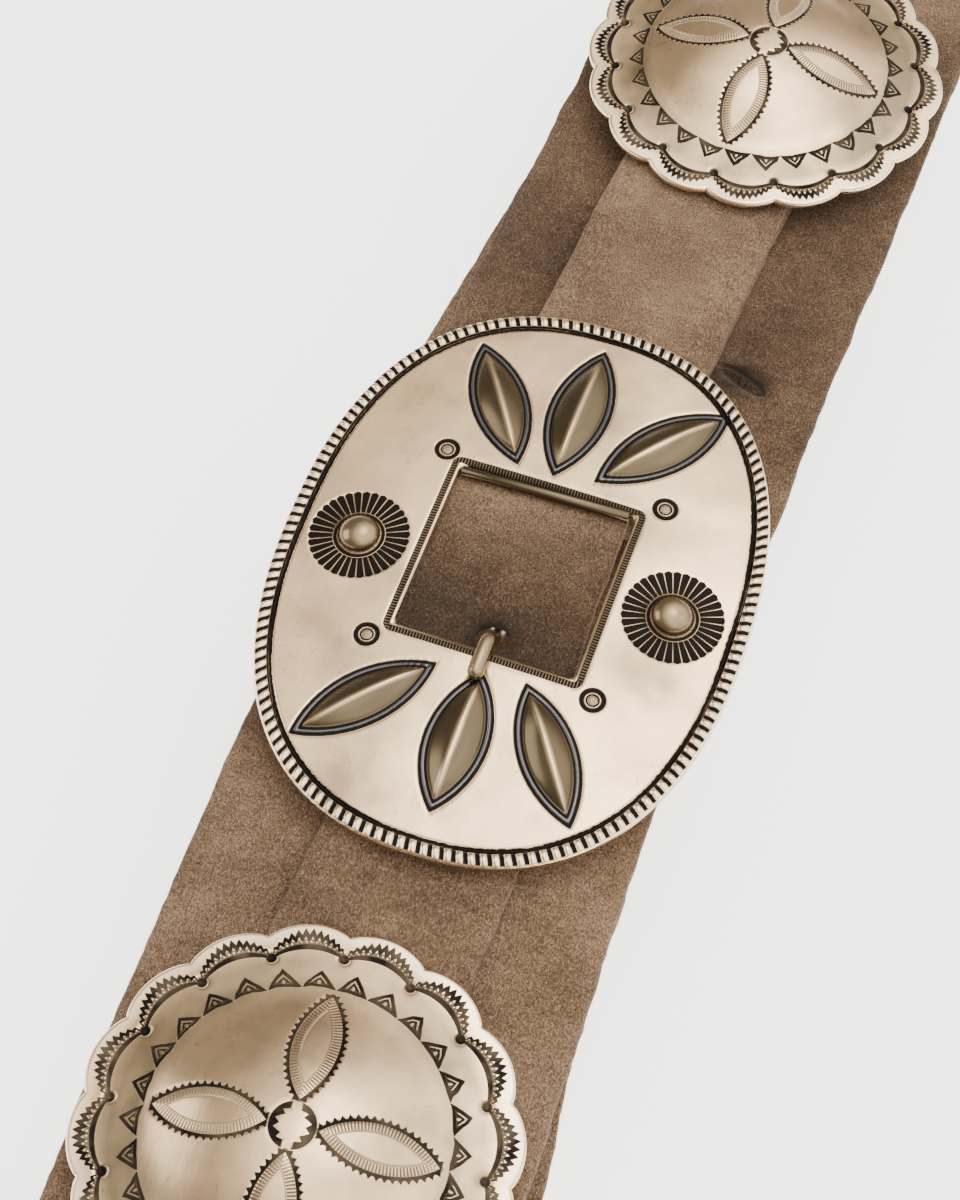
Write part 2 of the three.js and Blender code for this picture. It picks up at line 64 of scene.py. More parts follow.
# %% [markdown]
# The belt lies closed and flattened: an upper run and a lower run, joined by two folds.
# Every piece is placed by its station, the distance round the belt from the buckle's
# middle, and by its height over the middle of the wide strap. The same few sizes that
# built the solids build the path here, and the frame tells where its origin lies.

# %% Sizes of the belt
BACKING_WIDTH, BACKING_THICKNESS = 80.0, 2.0
CARRIER_WIDTH, CARRIER_THICKNESS = 38.0, 1.8
SEAT_GAP = 0.3
FIRST_STATION, LAST_STATION, UPPER_PITCH = 141.0, 118.0, 119.0
LOWER_RUN_CONCHOS = 4
FOLD_MARGIN, FOLD_RADIUS = 2.5, 12.5
CONCHO_RADIUS, LOBE_DEPTH, LOBES = 39.5, 1.8, 16
CONCHO_SHEET, DOME_RADIUS, DOME_HEIGHT, DOME_POWER, FACET_RADIUS = 1.2, 26.5, 6.8, 1.15, 3.5
BAND_RISE, BAND_RADIUS = 1.9, 37.0
STRIP_WIDTH, STRIP_THICKNESS, LEG_THICKNESS, LEG_GAP = 8.0, 1.0, 1.2, 0.8

LAYER = CARRIER_THICKNESS + SEAT_GAP
BACKING_TOP = BACKING_THICKNESS / 2
CARRIER_HEIGHT = BACKING_TOP + SEAT_GAP + CARRIER_THICKNESS / 2
TAIL_HEIGHT = CARRIER_HEIGHT + LAYER
LOOP_LIFT = STRIP_THICKNESS + SEAT_GAP
CONCHO_SEAT = BACKING_TOP + SEAT_GAP + STRIP_THICKNESS + SEAT_GAP + LAYER
PLATE_SEAT = BACKING_TOP + SEAT_GAP + 2 * LAYER


def dome_rise(distance):
    distance = np.asarray(distance, float)
    share = np.minimum(distance / DOME_RADIUS, 1.0)
    band = np.clip((BAND_RADIUS - distance) / (BAND_RADIUS - DOME_RADIUS), 0, 1)
    return BAND_RISE * band + DOME_HEIGHT * (1.0 - share * share) ** DOME_POWER


EDGE_ROOM = CONCHO_RADIUS + FOLD_MARGIN
RUN_HIGH = FIRST_STATION + EDGE_ROOM
RUN_LOW = -(LAST_STATION + UPPER_PITCH + EDGE_ROOM)
RUN = RUN_HIGH - RUN_LOW
FOLD = math.pi * FOLD_RADIUS
LOOP = 2 * (RUN + FOLD)
LOWER_HEIGHT = CONCHO_SEAT + CONCHO_SHEET + float(dome_rise(FACET_RADIUS))
FOLD_HEIGHT = LOWER_HEIGHT + FOLD_RADIUS
UPPER_HEIGHT = FOLD_HEIGHT + FOLD_RADIUS
buckle_low, buckle_high = [np.array(corner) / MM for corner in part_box("buckle")]
ORIGIN = np.array([(buckle_low[0] + buckle_high[0]) / 2, (buckle_low[1] + buckle_high[1]) / 2, 0.0])
print(f"loop {LOOP:.0f} mm round, upper run {UPPER_HEIGHT:.1f} mm up, origin at {ORIGIN.round(2)}")

# %% [markdown]
# A belt laid down by hand is never quite straight. A short table holds how far the
# two straps stray sideways, and a smooth closed curve runs through its rows. A frame
# of three directions then travels along that curve: along the strap, across it, and
# out of its good side.

# %% The path of the straps
SIDE_SHIFT = np.array([
    # share of the loop, backing shift, carrier shift, both as shares of the backing width
    [0.000, 0.075, 0.075], [0.042, 0.044, 0.044], [0.099, 0.004, 0.004], [0.160, -0.019, -0.019],
    [0.197, -0.016, -0.014], [0.219, -0.015, 0.003], [0.250, -0.004, 0.000], [0.278, 0.028, 0.000],
    [0.304, 0.056, 0.000], [0.312, 0.064, 0.000], [0.342, 0.085, 0.050], [0.378, 0.118, 0.092],
    [0.419, 0.158, 0.156], [0.461, 0.178, 0.178], [0.481, 0.175, 0.175], [0.500, 0.163, 0.163],
    [0.541, 0.100, 0.100], [0.606, -0.019, -0.019], [0.668, -0.088, -0.088], [0.730, -0.066, -0.066],
    [0.765, -0.031, -0.031], [0.794, 0.000, 0.000], [0.854, 0.060, 0.060], [0.920, 0.095, 0.095],
    [0.962, 0.098, 0.098], [0.981, 0.090, 0.090],
])
BACKING, CARRIER = 1, 2


def side_shift(column, station):
    share = np.mod((np.asarray(station, float) - RUN_LOW) / LOOP, 1.0)
    places = np.concatenate([SIDE_SHIFT[-1:, 0] - 1, SIDE_SHIFT[:, 0], SIDE_SHIFT[:2, 0] + 1])
    values = np.concatenate([SIDE_SHIFT[-1:, column], SIDE_SHIFT[:, column], SIDE_SHIFT[:2, column]])
    low = np.clip(np.searchsorted(places, share, side="right") - 1, 1, len(places) - 3)
    slopes = np.zeros_like(values)
    slopes[1:-1] = (values[2:] - values[:-2]) / (places[2:] - places[:-2])
    span = places[low + 1] - places[low]
    t = (share - places[low]) / span
    a, b = values[low], values[low + 1]
    curve = a + (b - a) * t * t * (3 - 2 * t)
    curve += span * t * (1 - t) * ((1 - t) * slopes[low] - t * slopes[low + 1])
    return BACKING_WIDTH * curve


def belt_frame(column, station):
    """Points, and the along, across and out directions, for an array of stations."""
    station = np.atleast_1d(np.asarray(station, float))
    travelled = np.mod(station - RUN_LOW, LOOP)
    angle_high = (travelled - RUN) / FOLD_RADIUS
    angle_low = (travelled - 2 * RUN - FOLD) / FOLD_RADIUS
    upper = travelled < RUN
    high_fold = (travelled >= RUN) & (travelled < RUN + FOLD)
    lower = (travelled >= RUN + FOLD) & (travelled < 2 * RUN + FOLD)
    past_low = np.where(lower, math.pi, math.pi + angle_low)
    angle = np.where(upper, 0.0, np.where(high_fold, angle_high, past_low))
    zero = np.zeros_like(angle)
    out = np.stack([zero, np.sin(angle), np.cos(angle)], 1)
    along = np.stack([zero, np.cos(angle), -np.sin(angle)], 1)
    y = np.where(upper, RUN_LOW + travelled, np.where(high_fold, RUN_HIGH,
                 np.where(lower, RUN_HIGH - (travelled - RUN - FOLD), RUN_LOW)))
    point = np.stack([zero, y, zero + FOLD_HEIGHT], 1) + FOLD_RADIUS * out
    heading = (side_shift(column, station + 1) - side_shift(column, station - 1)) / 2
    sideways = np.array([1.0, 0.0, 0.0])
    across = sideways - heading[:, None] * along
    across /= np.linalg.norm(across, axis=1, keepdims=True)
    along = along + heading[:, None] * sideways
    along /= np.linalg.norm(along, axis=1, keepdims=True)
    point = point + side_shift(column, station)[:, None] * sideways + ORIGIN
    return point, along, across, out


LOWER_PITCH = (RUN - 2 * EDGE_ROOM) / (LOWER_RUN_CONCHOS - 1)
CONCHO_STATIONS = [FIRST_STATION]
CONCHO_STATIONS += [RUN_HIGH + FOLD + EDGE_ROOM + i * LOWER_PITCH for i in range(LOWER_RUN_CONCHOS)]
CONCHO_STATIONS += [LOOP - LAST_STATION - UPPER_PITCH, LOOP - LAST_STATION]
print("conchos at stations", [round(s) for s in CONCHO_STATIONS])

# %% [markdown]
# Large meshes are quickest made from arrays. One helper turns a table of points and a
# table of faces into a mesh object, and another joins the rows of a grid with faces.
# Each vertex can also carry named values, such as its place on the face of a concho in
# millimetres, which the finishes read later.

# %% Mesh helpers
def make_piece(name, points, faces, values=None, smooth=True):
    mesh = bpy.data.meshes.new(name)
    mesh.from_pydata((np.asarray(points) * MM).tolist(), [], [list(face) for face in faces])
    for key, value in (values or {}).items():
        layer = mesh.attributes.new(key, "FLOAT_VECTOR", "POINT")
        layer.data.foreach_set("vector", np.ascontiguousarray(value, np.float32).ravel())
    mesh.polygons.foreach_set("use_smooth", [smooth] * len(mesh.polygons))
    mesh.update()
    piece = bpy.data.objects.new(name, mesh)
    bpy.context.scene.collection.objects.link(piece)
    return piece


def grid_faces(rows, columns, first=0, wrap=True):
    """Quads between the rows of a grid, round each row when it closes on itself."""
    count = columns if wrap else columns - 1
    row, column = np.meshgrid(np.arange(rows - 1), np.arange(count), indexing="ij")
    nxt = (column + 1) % columns
    quads = np.stack([row * columns + column, row * columns + nxt,
                      (row + 1) * columns + nxt, (row + 1) * columns + column], -1)
    return quads.reshape(-1, 4) + first


def fan_faces(centre, ring, flip=False):
    ring = list(ring)
    pairs = zip(ring, ring[1:] + ring[:1])
    return [(centre, b, a) if flip else (centre, a, b) for a, b in pairs]


def closed_tube(rings, ends):
    """Points and faces of a tube through rings of points, closed at both ends."""
    count, sides = rings.shape[:2]
    points = np.concatenate([rings.reshape(-1, 3), ends])
    faces = grid_faces(count, sides).tolist()
    faces += fan_faces(count * sides, range(sides), flip=True)
    faces += fan_faces(count * sides + 1, range((count - 1) * sides, count * sides))
    return points, faces


def smooth_noise(seed, length, spacing, positions):
    """A wandering value along a line, the same on every run."""
    knots = np.random.default_rng(seed).uniform(-1, 1, int(length / spacing) + 4)
    place = np.asarray(positions, float) / spacing
    low = np.clip(np.floor(place).astype(int), 0, len(knots) - 2)
    t = place - low
    t = t * t * (3 - 2 * t)
    return knots[low] * (1 - t) + knots[low + 1] * t


def smoothstep(low, high, value):
    t = np.clip((np.asarray(value, float) - low) / (high - low), 0, 1)
    return t * t * (3 - 2 * t)


print("mesh helpers ready")

# %% [markdown]
# Finishes are written as sums. A Wire wraps one output of a shader node, and the usual
# operators add the Math nodes behind the scenes, so a stamped line can be written as an
# expression on distances, and 1 - mask works because the operators are reflected too.

# %% Shader arithmetic
def operator(operation, swapped=False):
    """A method that adds one Math node for a Python operator."""
    def apply(self, other):
        values = (other, self) if swapped else (self, other)
        return self.math(operation, *values)
    return apply


class Wire:
    """One output of a shader node, for writing shader maths as sums."""

    def __init__(self, sheet, socket):
        self.sheet, self.socket = sheet, socket

    def math(self, operation, *values):
        node = self.sheet.nodes.new("ShaderNodeMath")
        node.operation = operation
        for slot, value in zip(node.inputs, values):
            if isinstance(value, Wire):
                self.sheet.links.new(value.socket, slot)
            else:
                slot.default_value = value
        return Wire(self.sheet, node.outputs[0])

    __add__, __radd__ = operator("ADD"), operator("ADD", swapped=True)
    __sub__, __rsub__ = operator("SUBTRACT"), operator("SUBTRACT", swapped=True)
    __mul__, __rmul__ = operator("MULTIPLY"), operator("MULTIPLY", swapped=True)
    __truediv__, __rtruediv__ = operator("DIVIDE"), operator("DIVIDE", swapped=True)
    least, most = operator("MINIMUM"), operator("MAXIMUM")
    turn_from = operator("ARCTAN2")

    def __neg__(self):
        return self.math("MULTIPLY", self, -1.0)

    def __abs__(self):
        return self.math("ABSOLUTE", self)

    def fraction(self):
        return self.math("FRACT", self)

    def root(self):
        return self.math("SQRT", self)

    def clipped(self):
        result = self.math("ADD", self, 0.0)
        result.socket.node.use_clamp = True
        return result


print("operators ready")

# %% [markdown]
# Any other node comes from one method. It takes the node's type, then its settings,
# such as a ramp's stops, and last its inputs, each a value or a Wire. An input is given
# by name, or by number as _0 or _1 where several inputs share a name.

# %% Finish
class Finish:
    """A material, or the room round the belt, whose nodes are wired by name."""

    def __init__(self, name, holder=None):
        self.material = holder or bpy.data.materials.new(name)
        self.material.use_nodes = True
        self.tree = self.material.node_tree
        self.tree.nodes.clear()

    def node(self, kind, settings=None, output=0, **inputs):
        made = self.tree.nodes.new(kind)
        for key, value in (settings or {}).items():
            if key == "stops":
                self.ramp(made, value)
            else:
                setattr(made, key, value)
        for key, value in inputs.items():
            slot = made.inputs[int(key[1:])] if key[1:].isdigit() else made.inputs[key.replace("_", " ")]
            if isinstance(value, Wire):
                self.tree.links.new(value.socket, slot)
            else:
                slot.default_value = value
        return Wire(self.tree, made.outputs[output]) if made.outputs else None

    def ramp(self, made, stops):
        elements = made.color_ramp.elements
        while len(elements) > 1:
            elements.remove(elements[-1])
        for i, (place, colour) in enumerate(stops):
            element = elements[0] if i == 0 else elements.new(place)
            element.position, element.color = place, colour

    def attribute(self, name):
        vector = self.node("ShaderNodeAttribute", {"attribute_name": name}, output=1)
        parts = self.node("ShaderNodeSeparateXYZ", _0=vector)
        return [Wire(self.tree, socket) for socket in parts.socket.node.outputs]

    def noise(self, scale, detail=3.0, roughness=0.5, stretch=None):
        place = self.node("ShaderNodeTexCoord", output=3)
        if stretch:
            place = self.node("ShaderNodeMapping", _0=place, Scale=stretch)
        return self.node("ShaderNodeTexNoise", Vector=place, Scale=scale, Detail=detail, Roughness=roughness)

    def mix(self, factor, first, second):
        return self.node("ShaderNodeMix", {"data_type": "RGBA"}, output=2, _0=factor, _6=first, _7=second)

    def bump(self, height):
        """Relief from a height in millimetres."""
        return self.node("ShaderNodeBump", Height=height, Distance=MM, Strength=1.0)

    def surface(self, **inputs):
        shader = self.node("ShaderNodeBsdfPrincipled", **inputs)
        self.node("ShaderNodeOutputMaterial", _0=shader)
        return self.material


print("node maker ready")

# %% [markdown]
# A stamp is a shape measured as a distance, so each mask turns a distance into a soft
# edged 0 or 1: a band between two limits, a line at one distance, a row of teeth, and
# the darkest of several masks, because a second blow of the stamp adds no tarnish. Noise
# is turned into patches in the same way, by what rises above a start.

# %% Masks
FAR = 99.0


def distance(x, y):
    return (x * x + y * y).root()


def band(value, low, high=FAR, soft=0.12):
    """1 where a value lies between two limits, with soft edges."""
    return ((value - low) / soft + 0.5).clipped() * ((high - value) / soft + 0.5).clipped()


def within(value, high, soft=0.12):
    """1 up to a limit, for a distance, which is never negative."""
    return band(value, -1.0, high, soft)


def line(value, at, half_width, soft=0.12):
    return band(value, at - half_width, at + half_width, soft)


def above(value, start, gain):
    """0 up to a start, and from there a rise to 1 at a given rate."""
    return ((value - start) * gain).clipped()


def saw(value, pitch):
    """0 between teeth and 1 at the tip of each tooth."""
    return 1 - abs((value / pitch).fraction() - 0.5) * 2


def darkest(*masks):
    result = masks[0]
    for mask in masks[1:]:
        result = result.most(mask)
    return result


print("masks ready")

# %% [markdown]
# Old silver is bright where hands and cloth rub it and nearly black where tarnish
# stays in a stamp. So one recipe serves every silver piece: a mask of stamped lines
# darkens and roughens the metal and presses it in, a second mask gives the brown or
# grey of half-polished hollows, a third shows the rubbed edges, and noise adds the
# haze, stains, specks, scratches and the slow waves that a hammer leaves.

# %% Silver
BRIGHT = (0.74, 0.535, 0.325, 1)
WARM = (0.34, 0.245, 0.14, 1)
RUBBED = (0.90, 0.69, 0.46, 1)
TARNISH = (0.013, 0.011, 0.010, 1)
STAIN = (0.30, 0.22, 0.15, 1)
HAMMER_WAVE, DIMPLE, SCRATCH = 1.1, 0.05, 0.012


def silver_surface(finish, stamped, toned, tone, depth=0.25, hazy=0.23, polished=0.0):
    cloud = finish.noise(34.0, 4.0, 0.6)
    patch = finish.noise(75.0, 2.0, 0.5)
    speck = finish.noise(900.0, 2.0, 0.6)
    scratch = finish.noise(700.0, 3.0, 0.7, stretch=(1.0, 0.08, 1.0))
    cross = finish.noise(520.0, 3.0, 0.7, stretch=(0.07, 1.0, 1.0))
    dimple = finish.noise(140.0, 1.0, 0.4)
    wave = finish.noise(42.0, 1.0, 0.3)
    cloudy = above(cloud, 0.38, 2.6) * 0.75 + above(patch, 0.45, 3.0) * 0.22
    colour = finish.mix(cloudy, BRIGHT, WARM)
    colour = finish.mix(polished, colour, RUBBED)
    stain = above(patch, 0.52, 6.0) * above(cloud, 0.40, 5.0) * 0.6
    grime = above(speck, 0.60, 9.0) * above(patch, 0.40, 4.0) * 0.7
    colour = finish.mix(darkest(stain, grime), colour, STAIN)
    colour = finish.mix(toned, colour, tone)
    colour = finish.mix(stamped, colour, TARNISH)
    rough = hazy + (cloud - 0.5) * 0.20 + (scratch - 0.5) * 0.10 + stamped * 0.35
    height = (1 - stamped) * depth + (scratch + cross) * SCRATCH + dimple * DIMPLE + wave * HAMMER_WAVE
    return finish.surface(Base_Color=colour, Metallic=1.0, Roughness=rough.clipped(),
                          Normal=finish.bump(height))


print("silver recipe ready")

# %% [markdown]
# A concho is a disc of sheet silver. It is domed over a stake, its edge is filed into
# lobes, and steel stamps press in the ornament. The fine stamps are worked out in the
# finish from each point's place on the disc, so they stay sharp at any distance. All of
# them are drawn with arcs, and an arc is fixed by its chord and its rise.

# %% Stamps of the conchos
LEAF_ROOT, LEAF_TIP, LEAF_HALF = 4.2, 25.8, 4.4
LOBE_LINE, DOT_RADIUS_FROM_CENTRE = 35.0, 33.2
TRIANGLES, TRIANGLE_FOOT, TRIANGLE_HEIGHT = 28, 27.1, 3.3


def arc_through(half_chord, rise):
    """Radius of the arc over a chord, and how far its centre lies below the chord."""
    radius = (half_chord ** 2 + rise ** 2) / (2 * rise)
    return radius, radius - rise


LEAF_ARC, LEAF_SINK = arc_through((LEAF_TIP - LEAF_ROOT) / 2, LEAF_HALF)
LEAF_MIDDLE = (LEAF_TIP + LEAF_ROOT) / 2
HALF_LOBE = math.pi / LOBES
dot_chord = DOT_RADIUS_FROM_CENTRE * math.sin(HALF_LOBE)
dot_depth = DOT_RADIUS_FROM_CENTRE * math.cos(HALF_LOBE)
LOBE_ARC, lobe_sink = arc_through(dot_chord, LOBE_LINE - dot_depth)
LOBE_CENTRE = dot_depth - lobe_sink
print(f"leaf arc {LEAF_ARC:.1f} mm, lobe arc {LOBE_ARC:.1f} mm")

# %% [markdown]
# Each lobe carries a crescent from one stamp: a dark line, a row of small rings and a row
# of teeth, which narrow towards two round dots. Folding the disc into one sector means
# that the crescent is drawn once and shows in all sixteen lobes.

# %% Crescent in each lobe
RING_LEVEL, RING_PITCH, RING_RADIUS = 0.85, 0.95, 0.36
TEETH_LEVEL, LOBE_TOOTH_PITCH, LOBE_TOOTH = 1.45, 1.22, 1.25
LOBE_DOT, LOBE_START = 1.0, 32.0


def lobe_stamp(x, y):
    """Crescent in each lobe: a line, a row of rings and a row of teeth, and end dots."""
    radius = distance(x, y)
    sector = ((y.turn_from(x) / (2 * HALF_LOBE)).fraction() - 0.5) * (2 * HALF_LOBE)
    side = radius * sector.math("SINE", sector)
    reach = radius * sector.math("COSINE", sector)
    rise = reach - LOBE_CENTRE
    out = distance(side, rise) - LOBE_ARC
    run = side.turn_from(rise) * (LOBE_ARC + 1.5)
    fullness = 1 - (side / dot_chord) * (side / dot_chord) * 0.6
    level = out / fullness
    inside = within(abs(side), dot_chord - 0.2) * band(radius, LOBE_START)
    arc_line = line(level, -0.05, 0.50)
    ring_side = ((run / RING_PITCH).fraction() - 0.5) * RING_PITCH
    rings = line(distance(ring_side, level - RING_LEVEL), RING_RADIUS, 0.13, 0.14)
    tooth_line = line(level - TEETH_LEVEL - saw(run, LOBE_TOOTH_PITCH) * LOBE_TOOTH, 0.0, 0.78, 0.25)
    dots = within(distance(abs(side) - dot_chord, reach - dot_depth), LOBE_DOT, 0.3)
    return darkest(arc_line * inside, rings * inside * 0.8, tooth_line * inside, dots)


print("lobe stamp ready")

# %% [markdown]
# Stepped triangles stand side by side on the foot of the dome. They were struck one by
# one, so the finish later shifts the place a little before it draws them.

# %% Triangles round the dome
TRIANGLE_SHARE, RUNG_PITCH = 0.47, 0.95


def triangle_stamp(x, y):
    """Ring of stepped triangles that stand on the foot of the dome."""
    radius = distance(x, y)
    pitch = 2 * math.pi * TRIANGLE_FOOT / TRIANGLES
    side = abs(((y.turn_from(x) * TRIANGLES / (2 * math.pi)).fraction() - 0.5) * pitch)
    rise = radius - TRIANGLE_FOOT
    slope = TRIANGLE_HEIGHT / (pitch * TRIANGLE_SHARE)
    deep = (TRIANGLE_HEIGHT - rise - side * slope) / math.hypot(1.0, slope)
    outline = line(deep, 0.25, 0.30) * band(rise, 0.0)
    inner = line(deep, 1.05, 0.17) * band(rise, 0.5)
    foot = line(rise, 0.2, 0.3) * band(deep, 0.0)
    rungs = line((side / RUNG_PITCH).fraction(), 0.5, 0.20, 0.15)
    rungs = rungs * band(deep, 0.3) * band(rise, 0.3, 1.3)
    return darkest(outline, inner, foot, rungs * 0.9)


print("triangle stamp ready")

# %% [markdown]
# Four leaves make a cross on the dome, and two small crescents face each other in the
# middle. A leaf is two mirrored arcs, so the nearer arc alone has to be measured.

# %% Leaves and middle
TOOTH_PITCH, TOOTH_LENGTH, HATCH_PITCH = 1.3, 0.95, 0.62
CRESCENT_IN, CRESCENT_OUT, CRESCENT_TOOTH_PITCH, CRESCENT_GAP = 3.3, 4.15, 1.6, 0.9


def leaf_stamp(x, y):
    """Four leaves: toothed arcs with a hatched band inside each."""
    far, near = abs(x).most(abs(y)), abs(x).least(abs(y))
    ahead, aside = far - LEAF_MIDDLE, near + LEAF_SINK
    out = distance(ahead, aside) - LEAF_ARC
    run = ahead.turn_from(aside) * LEAF_ARC
    inside = band(far, LEAF_ROOT, LEAF_TIP, 0.5)
    arc_line = line(out, 0.0, 0.28)
    teeth = band(saw(run, TOOTH_PITCH) * TOOTH_LENGTH - out, 0.0, FAR, 0.2) * band(out, 0.0, 1.0)
    fade = ((LEAF_ARC * 0.75 - abs(ahead)) / 5.0).clipped()
    hatch = line((run / HATCH_PITCH).fraction(), 0.5, 0.20, 0.2) * band(out, -1.9, -0.25, 0.6) * fade
    inner_line = line(out, -2.0, 0.12, 0.14)
    return darkest(arc_line * inside, teeth * inside, hatch * inside * 0.75, inner_line * inside * 0.35)


def centre_stamp(x, y):
    """Two dark crescents that face each other, each with toothed inner edge."""
    radius = distance(x, y)
    teeth = saw(y + CRESCENT_TOOTH_PITCH / 2, CRESCENT_TOOTH_PITCH)
    body = band(radius + teeth, CRESCENT_IN) * within(radius, CRESCENT_OUT)
    return body * band(abs(x), CRESCENT_GAP, FAR, 0.3)


print("leaf and middle stamps ready")

# %% [markdown]
# The stamps meet in one mask, and the triangles waver a little with the hand. The dished
# band round the dome is never polished well, so it keeps a patchy olive tone, while the
# lip is rubbed bright by every sleeve.

# %% Concho finish
OLIVE = (0.20, 0.155, 0.095, 1)
BAND_END, LIP_START, HAND_SHIFT = TRIANGLE_FOOT + 6.5, 35.8, 1.3


def concho_finish():
    finish = Finish("stamped silver")
    x, y, _ = finish.attribute("face")
    worn = above(finish.noise(170.0, 2.0, 0.5), 0.30, 3.5)
    radius = distance(x, y)
    hand = (finish.noise(230.0, 2.0, 0.5) - 0.5) * HAND_SHIFT
    triangles = triangle_stamp(x + hand, y - hand * 0.8)
    stamps = darkest(lobe_stamp(x, y), triangles, leaf_stamp(x, y), centre_stamp(x, y))
    stamps = stamps * (0.88 + worn * 0.12)
    patchy = above(finish.noise(52.0, 3.0, 0.6), 0.34, 3.6)
    shade = band(radius, DOME_RADIUS, BAND_END, 3.0) * (0.25 + patchy * 0.65)
    lip = band(radius, LIP_START, FAR, 1.5)
    return silver_surface(finish, stamps, shade, OLIVE, polished=lip)


concho_silver = concho_finish()
print("concho finish has", len(concho_silver.node_tree.nodes), "nodes")

# %% [markdown]
# The face of the disc is a height over its plane: the dome, the dished band round it and
# the polished lip, with the notch dots punched in and the leaves slightly raised. Heights
# add up like blows of a punch, so each term below is one of them.

# %% Height of the disc
LIP_RISE, DOT_DEPTH, DOT_WIDTH = 0.30, 0.75, 0.75
LEAF_RISE, LEAF_LINE_DEPTH, LEAF_LINE_WIDTH, MIDDLE_DEPTH = 0.22, 0.16, 0.45, 0.18
FOOT_SOFTNESS = (-3.0, -2.0, -1.0, 0.0, 1.0, 2.0, 3.0)


def scallop(angle):
    lobe = np.abs(np.sin(angle * LOBES / 2))
    return CONCHO_RADIUS - LOBE_DEPTH * (1 - lobe ** 0.7)


def lobe_distance(x, y):
    """Distance out from the crescent's inner arc, and from the nearest notch dot."""
    radius, angle = np.hypot(x, y), np.arctan2(y, x)
    sector = (np.mod(angle / (2 * HALF_LOBE), 1.0) - 0.5) * 2 * HALF_LOBE
    side, rise = radius * np.sin(sector), radius * np.cos(sector)
    out = np.hypot(side, rise - LOBE_CENTRE) - LOBE_ARC
    return out, np.hypot(np.abs(side) - dot_chord, rise - dot_depth)


def leaf_distance(x, y):
    far, near = np.maximum(np.abs(x), np.abs(y)), np.minimum(np.abs(x), np.abs(y))
    return np.hypot(far - LEAF_MIDDLE, near + LEAF_SINK) - LEAF_ARC


def concho_top(x, y):
    radius = np.hypot(x, y)
    out, dot = lobe_distance(x, y)
    leaf = leaf_distance(x, y)
    height = CONCHO_SHEET + np.mean([dome_rise(np.abs(radius + step)) for step in FOOT_SOFTNESS], axis=0)
    height += LIP_RISE * smoothstep(-0.2, 0.9, out) * smoothstep(33.0, 35.0, radius)
    height += -DOT_DEPTH * np.exp(-(dot / DOT_WIDTH) ** 2)
    on_leaf = smoothstep(26.0, 24.0, radius) * smoothstep(3.5, 5.5, radius)
    height += LEAF_RISE * smoothstep(0.3, -2.6, leaf) * on_leaf
    on_line = smoothstep(25.6, 24.6, radius) * smoothstep(3.8, 5.0, radius)
    height += -LEAF_LINE_DEPTH * np.exp(-(leaf / LEAF_LINE_WIDTH) ** 2) * on_line
    on_middle = smoothstep(3.0, 3.3, radius) * smoothstep(4.1, 3.8, radius)
    height += -MIDDLE_DEPTH * on_middle * smoothstep(0.8, 1.3, np.abs(x))
    return height


print(f"the dome's top is {float(concho_top(np.zeros(1), np.zeros(1))[0]):.2f} mm over the disc's underside")

# %% [markdown]
# The disc is one closed shell. Its top is a polar grid, finer towards the lobes, then a
# few rings round the rim, and then the underside, which follows the same dome a sheet's
# thickness below.

# %% Disc
AROUND, RINGS, EDGE_PULL = 480, 66, 0.45
UNDER_RADII = (32.0, DOME_RADIUS, 24.0, 19.0, 13.0, 6.0)


def concho_mesh_points():
    share = np.linspace(0, 1, RINGS + 1)[1:] ** 0.85
    angle = np.arange(AROUND) * 2 * math.pi / AROUND
    edge = scallop(angle)
    blend = smoothstep(0.72, 0.97, share)[:, None]
    radius = share[:, None] * (CONCHO_RADIUS * (1 - blend) + edge[None, :] * blend)
    radius = radius - EDGE_PULL * share[:, None] ** 20
    x, y = radius * np.cos(angle), radius * np.sin(angle)
    height = concho_top(x, y)
    rings = [np.stack([x, y, height], -1).reshape(-1, 3)]
    rim = [(0.12, CONCHO_SHEET + 0.16), (0.0, CONCHO_SHEET * 0.62), (0.08, 0.22), (EDGE_PULL, 0.0)]
    for inset, level in rim:
        reach = edge - inset
        rings.append(np.stack([reach * np.cos(angle), reach * np.sin(angle), np.full(AROUND, level)], -1))
    for reach in UNDER_RADII:
        level = np.full(AROUND, float(dome_rise(reach)))
        rings.append(np.stack([reach * np.cos(angle), reach * np.sin(angle), level], -1))
    return np.concatenate(rings), RINGS + len(rim) + len(UNDER_RADII)


print("disc rings ready")

# %% [markdown]
# A flat silver strip, bent to a U, is soldered under each disc, and the narrow strap runs
# through it. Its outline has eight corners, drawn once at each of the strip's edges. The
# first concho holds two layers of strap, so its loop is deeper.

# %% Loop
U_CORNERS = 8
U_END = [(0, 1, 6, 7), (1, 2, 5, 6), (2, 3, 4, 5)]


def loop_faces(first):
    corners = range(U_CORNERS)
    faces = [(first + i, first + (i + 1) % U_CORNERS, first + U_CORNERS + (i + 1) % U_CORNERS,
              first + U_CORNERS + i) for i in corners]
    faces += [tuple(first + i for i in quad) for quad in U_END]
    faces += [tuple(first + U_CORNERS + i for i in quad[::-1]) for quad in U_END]
    return faces


def loop_points(straps):
    """Outline of the soldered loop, a flat U, at its two edges."""
    inner = CARRIER_WIDTH / 2 + LEG_GAP
    outer = inner + LEG_THICKNESS
    top = float(dome_rise((inner + outer) / 2)) + CONCHO_SHEET / 2
    strip = -SEAT_GAP - straps * LAYER
    low = strip - STRIP_THICKNESS
    outline = [(-outer, top), (-outer, low), (outer, low), (outer, top),
               (inner, top), (inner, strip), (-inner, strip), (-inner, top)]
    half = STRIP_WIDTH / 2
    return np.array([(x, side * half, z) for side in (-1, 1) for x, z in outline])


print("loop is", 2 * (CARRIER_WIDTH / 2 + LEG_GAP + LEG_THICKNESS), "mm wide")

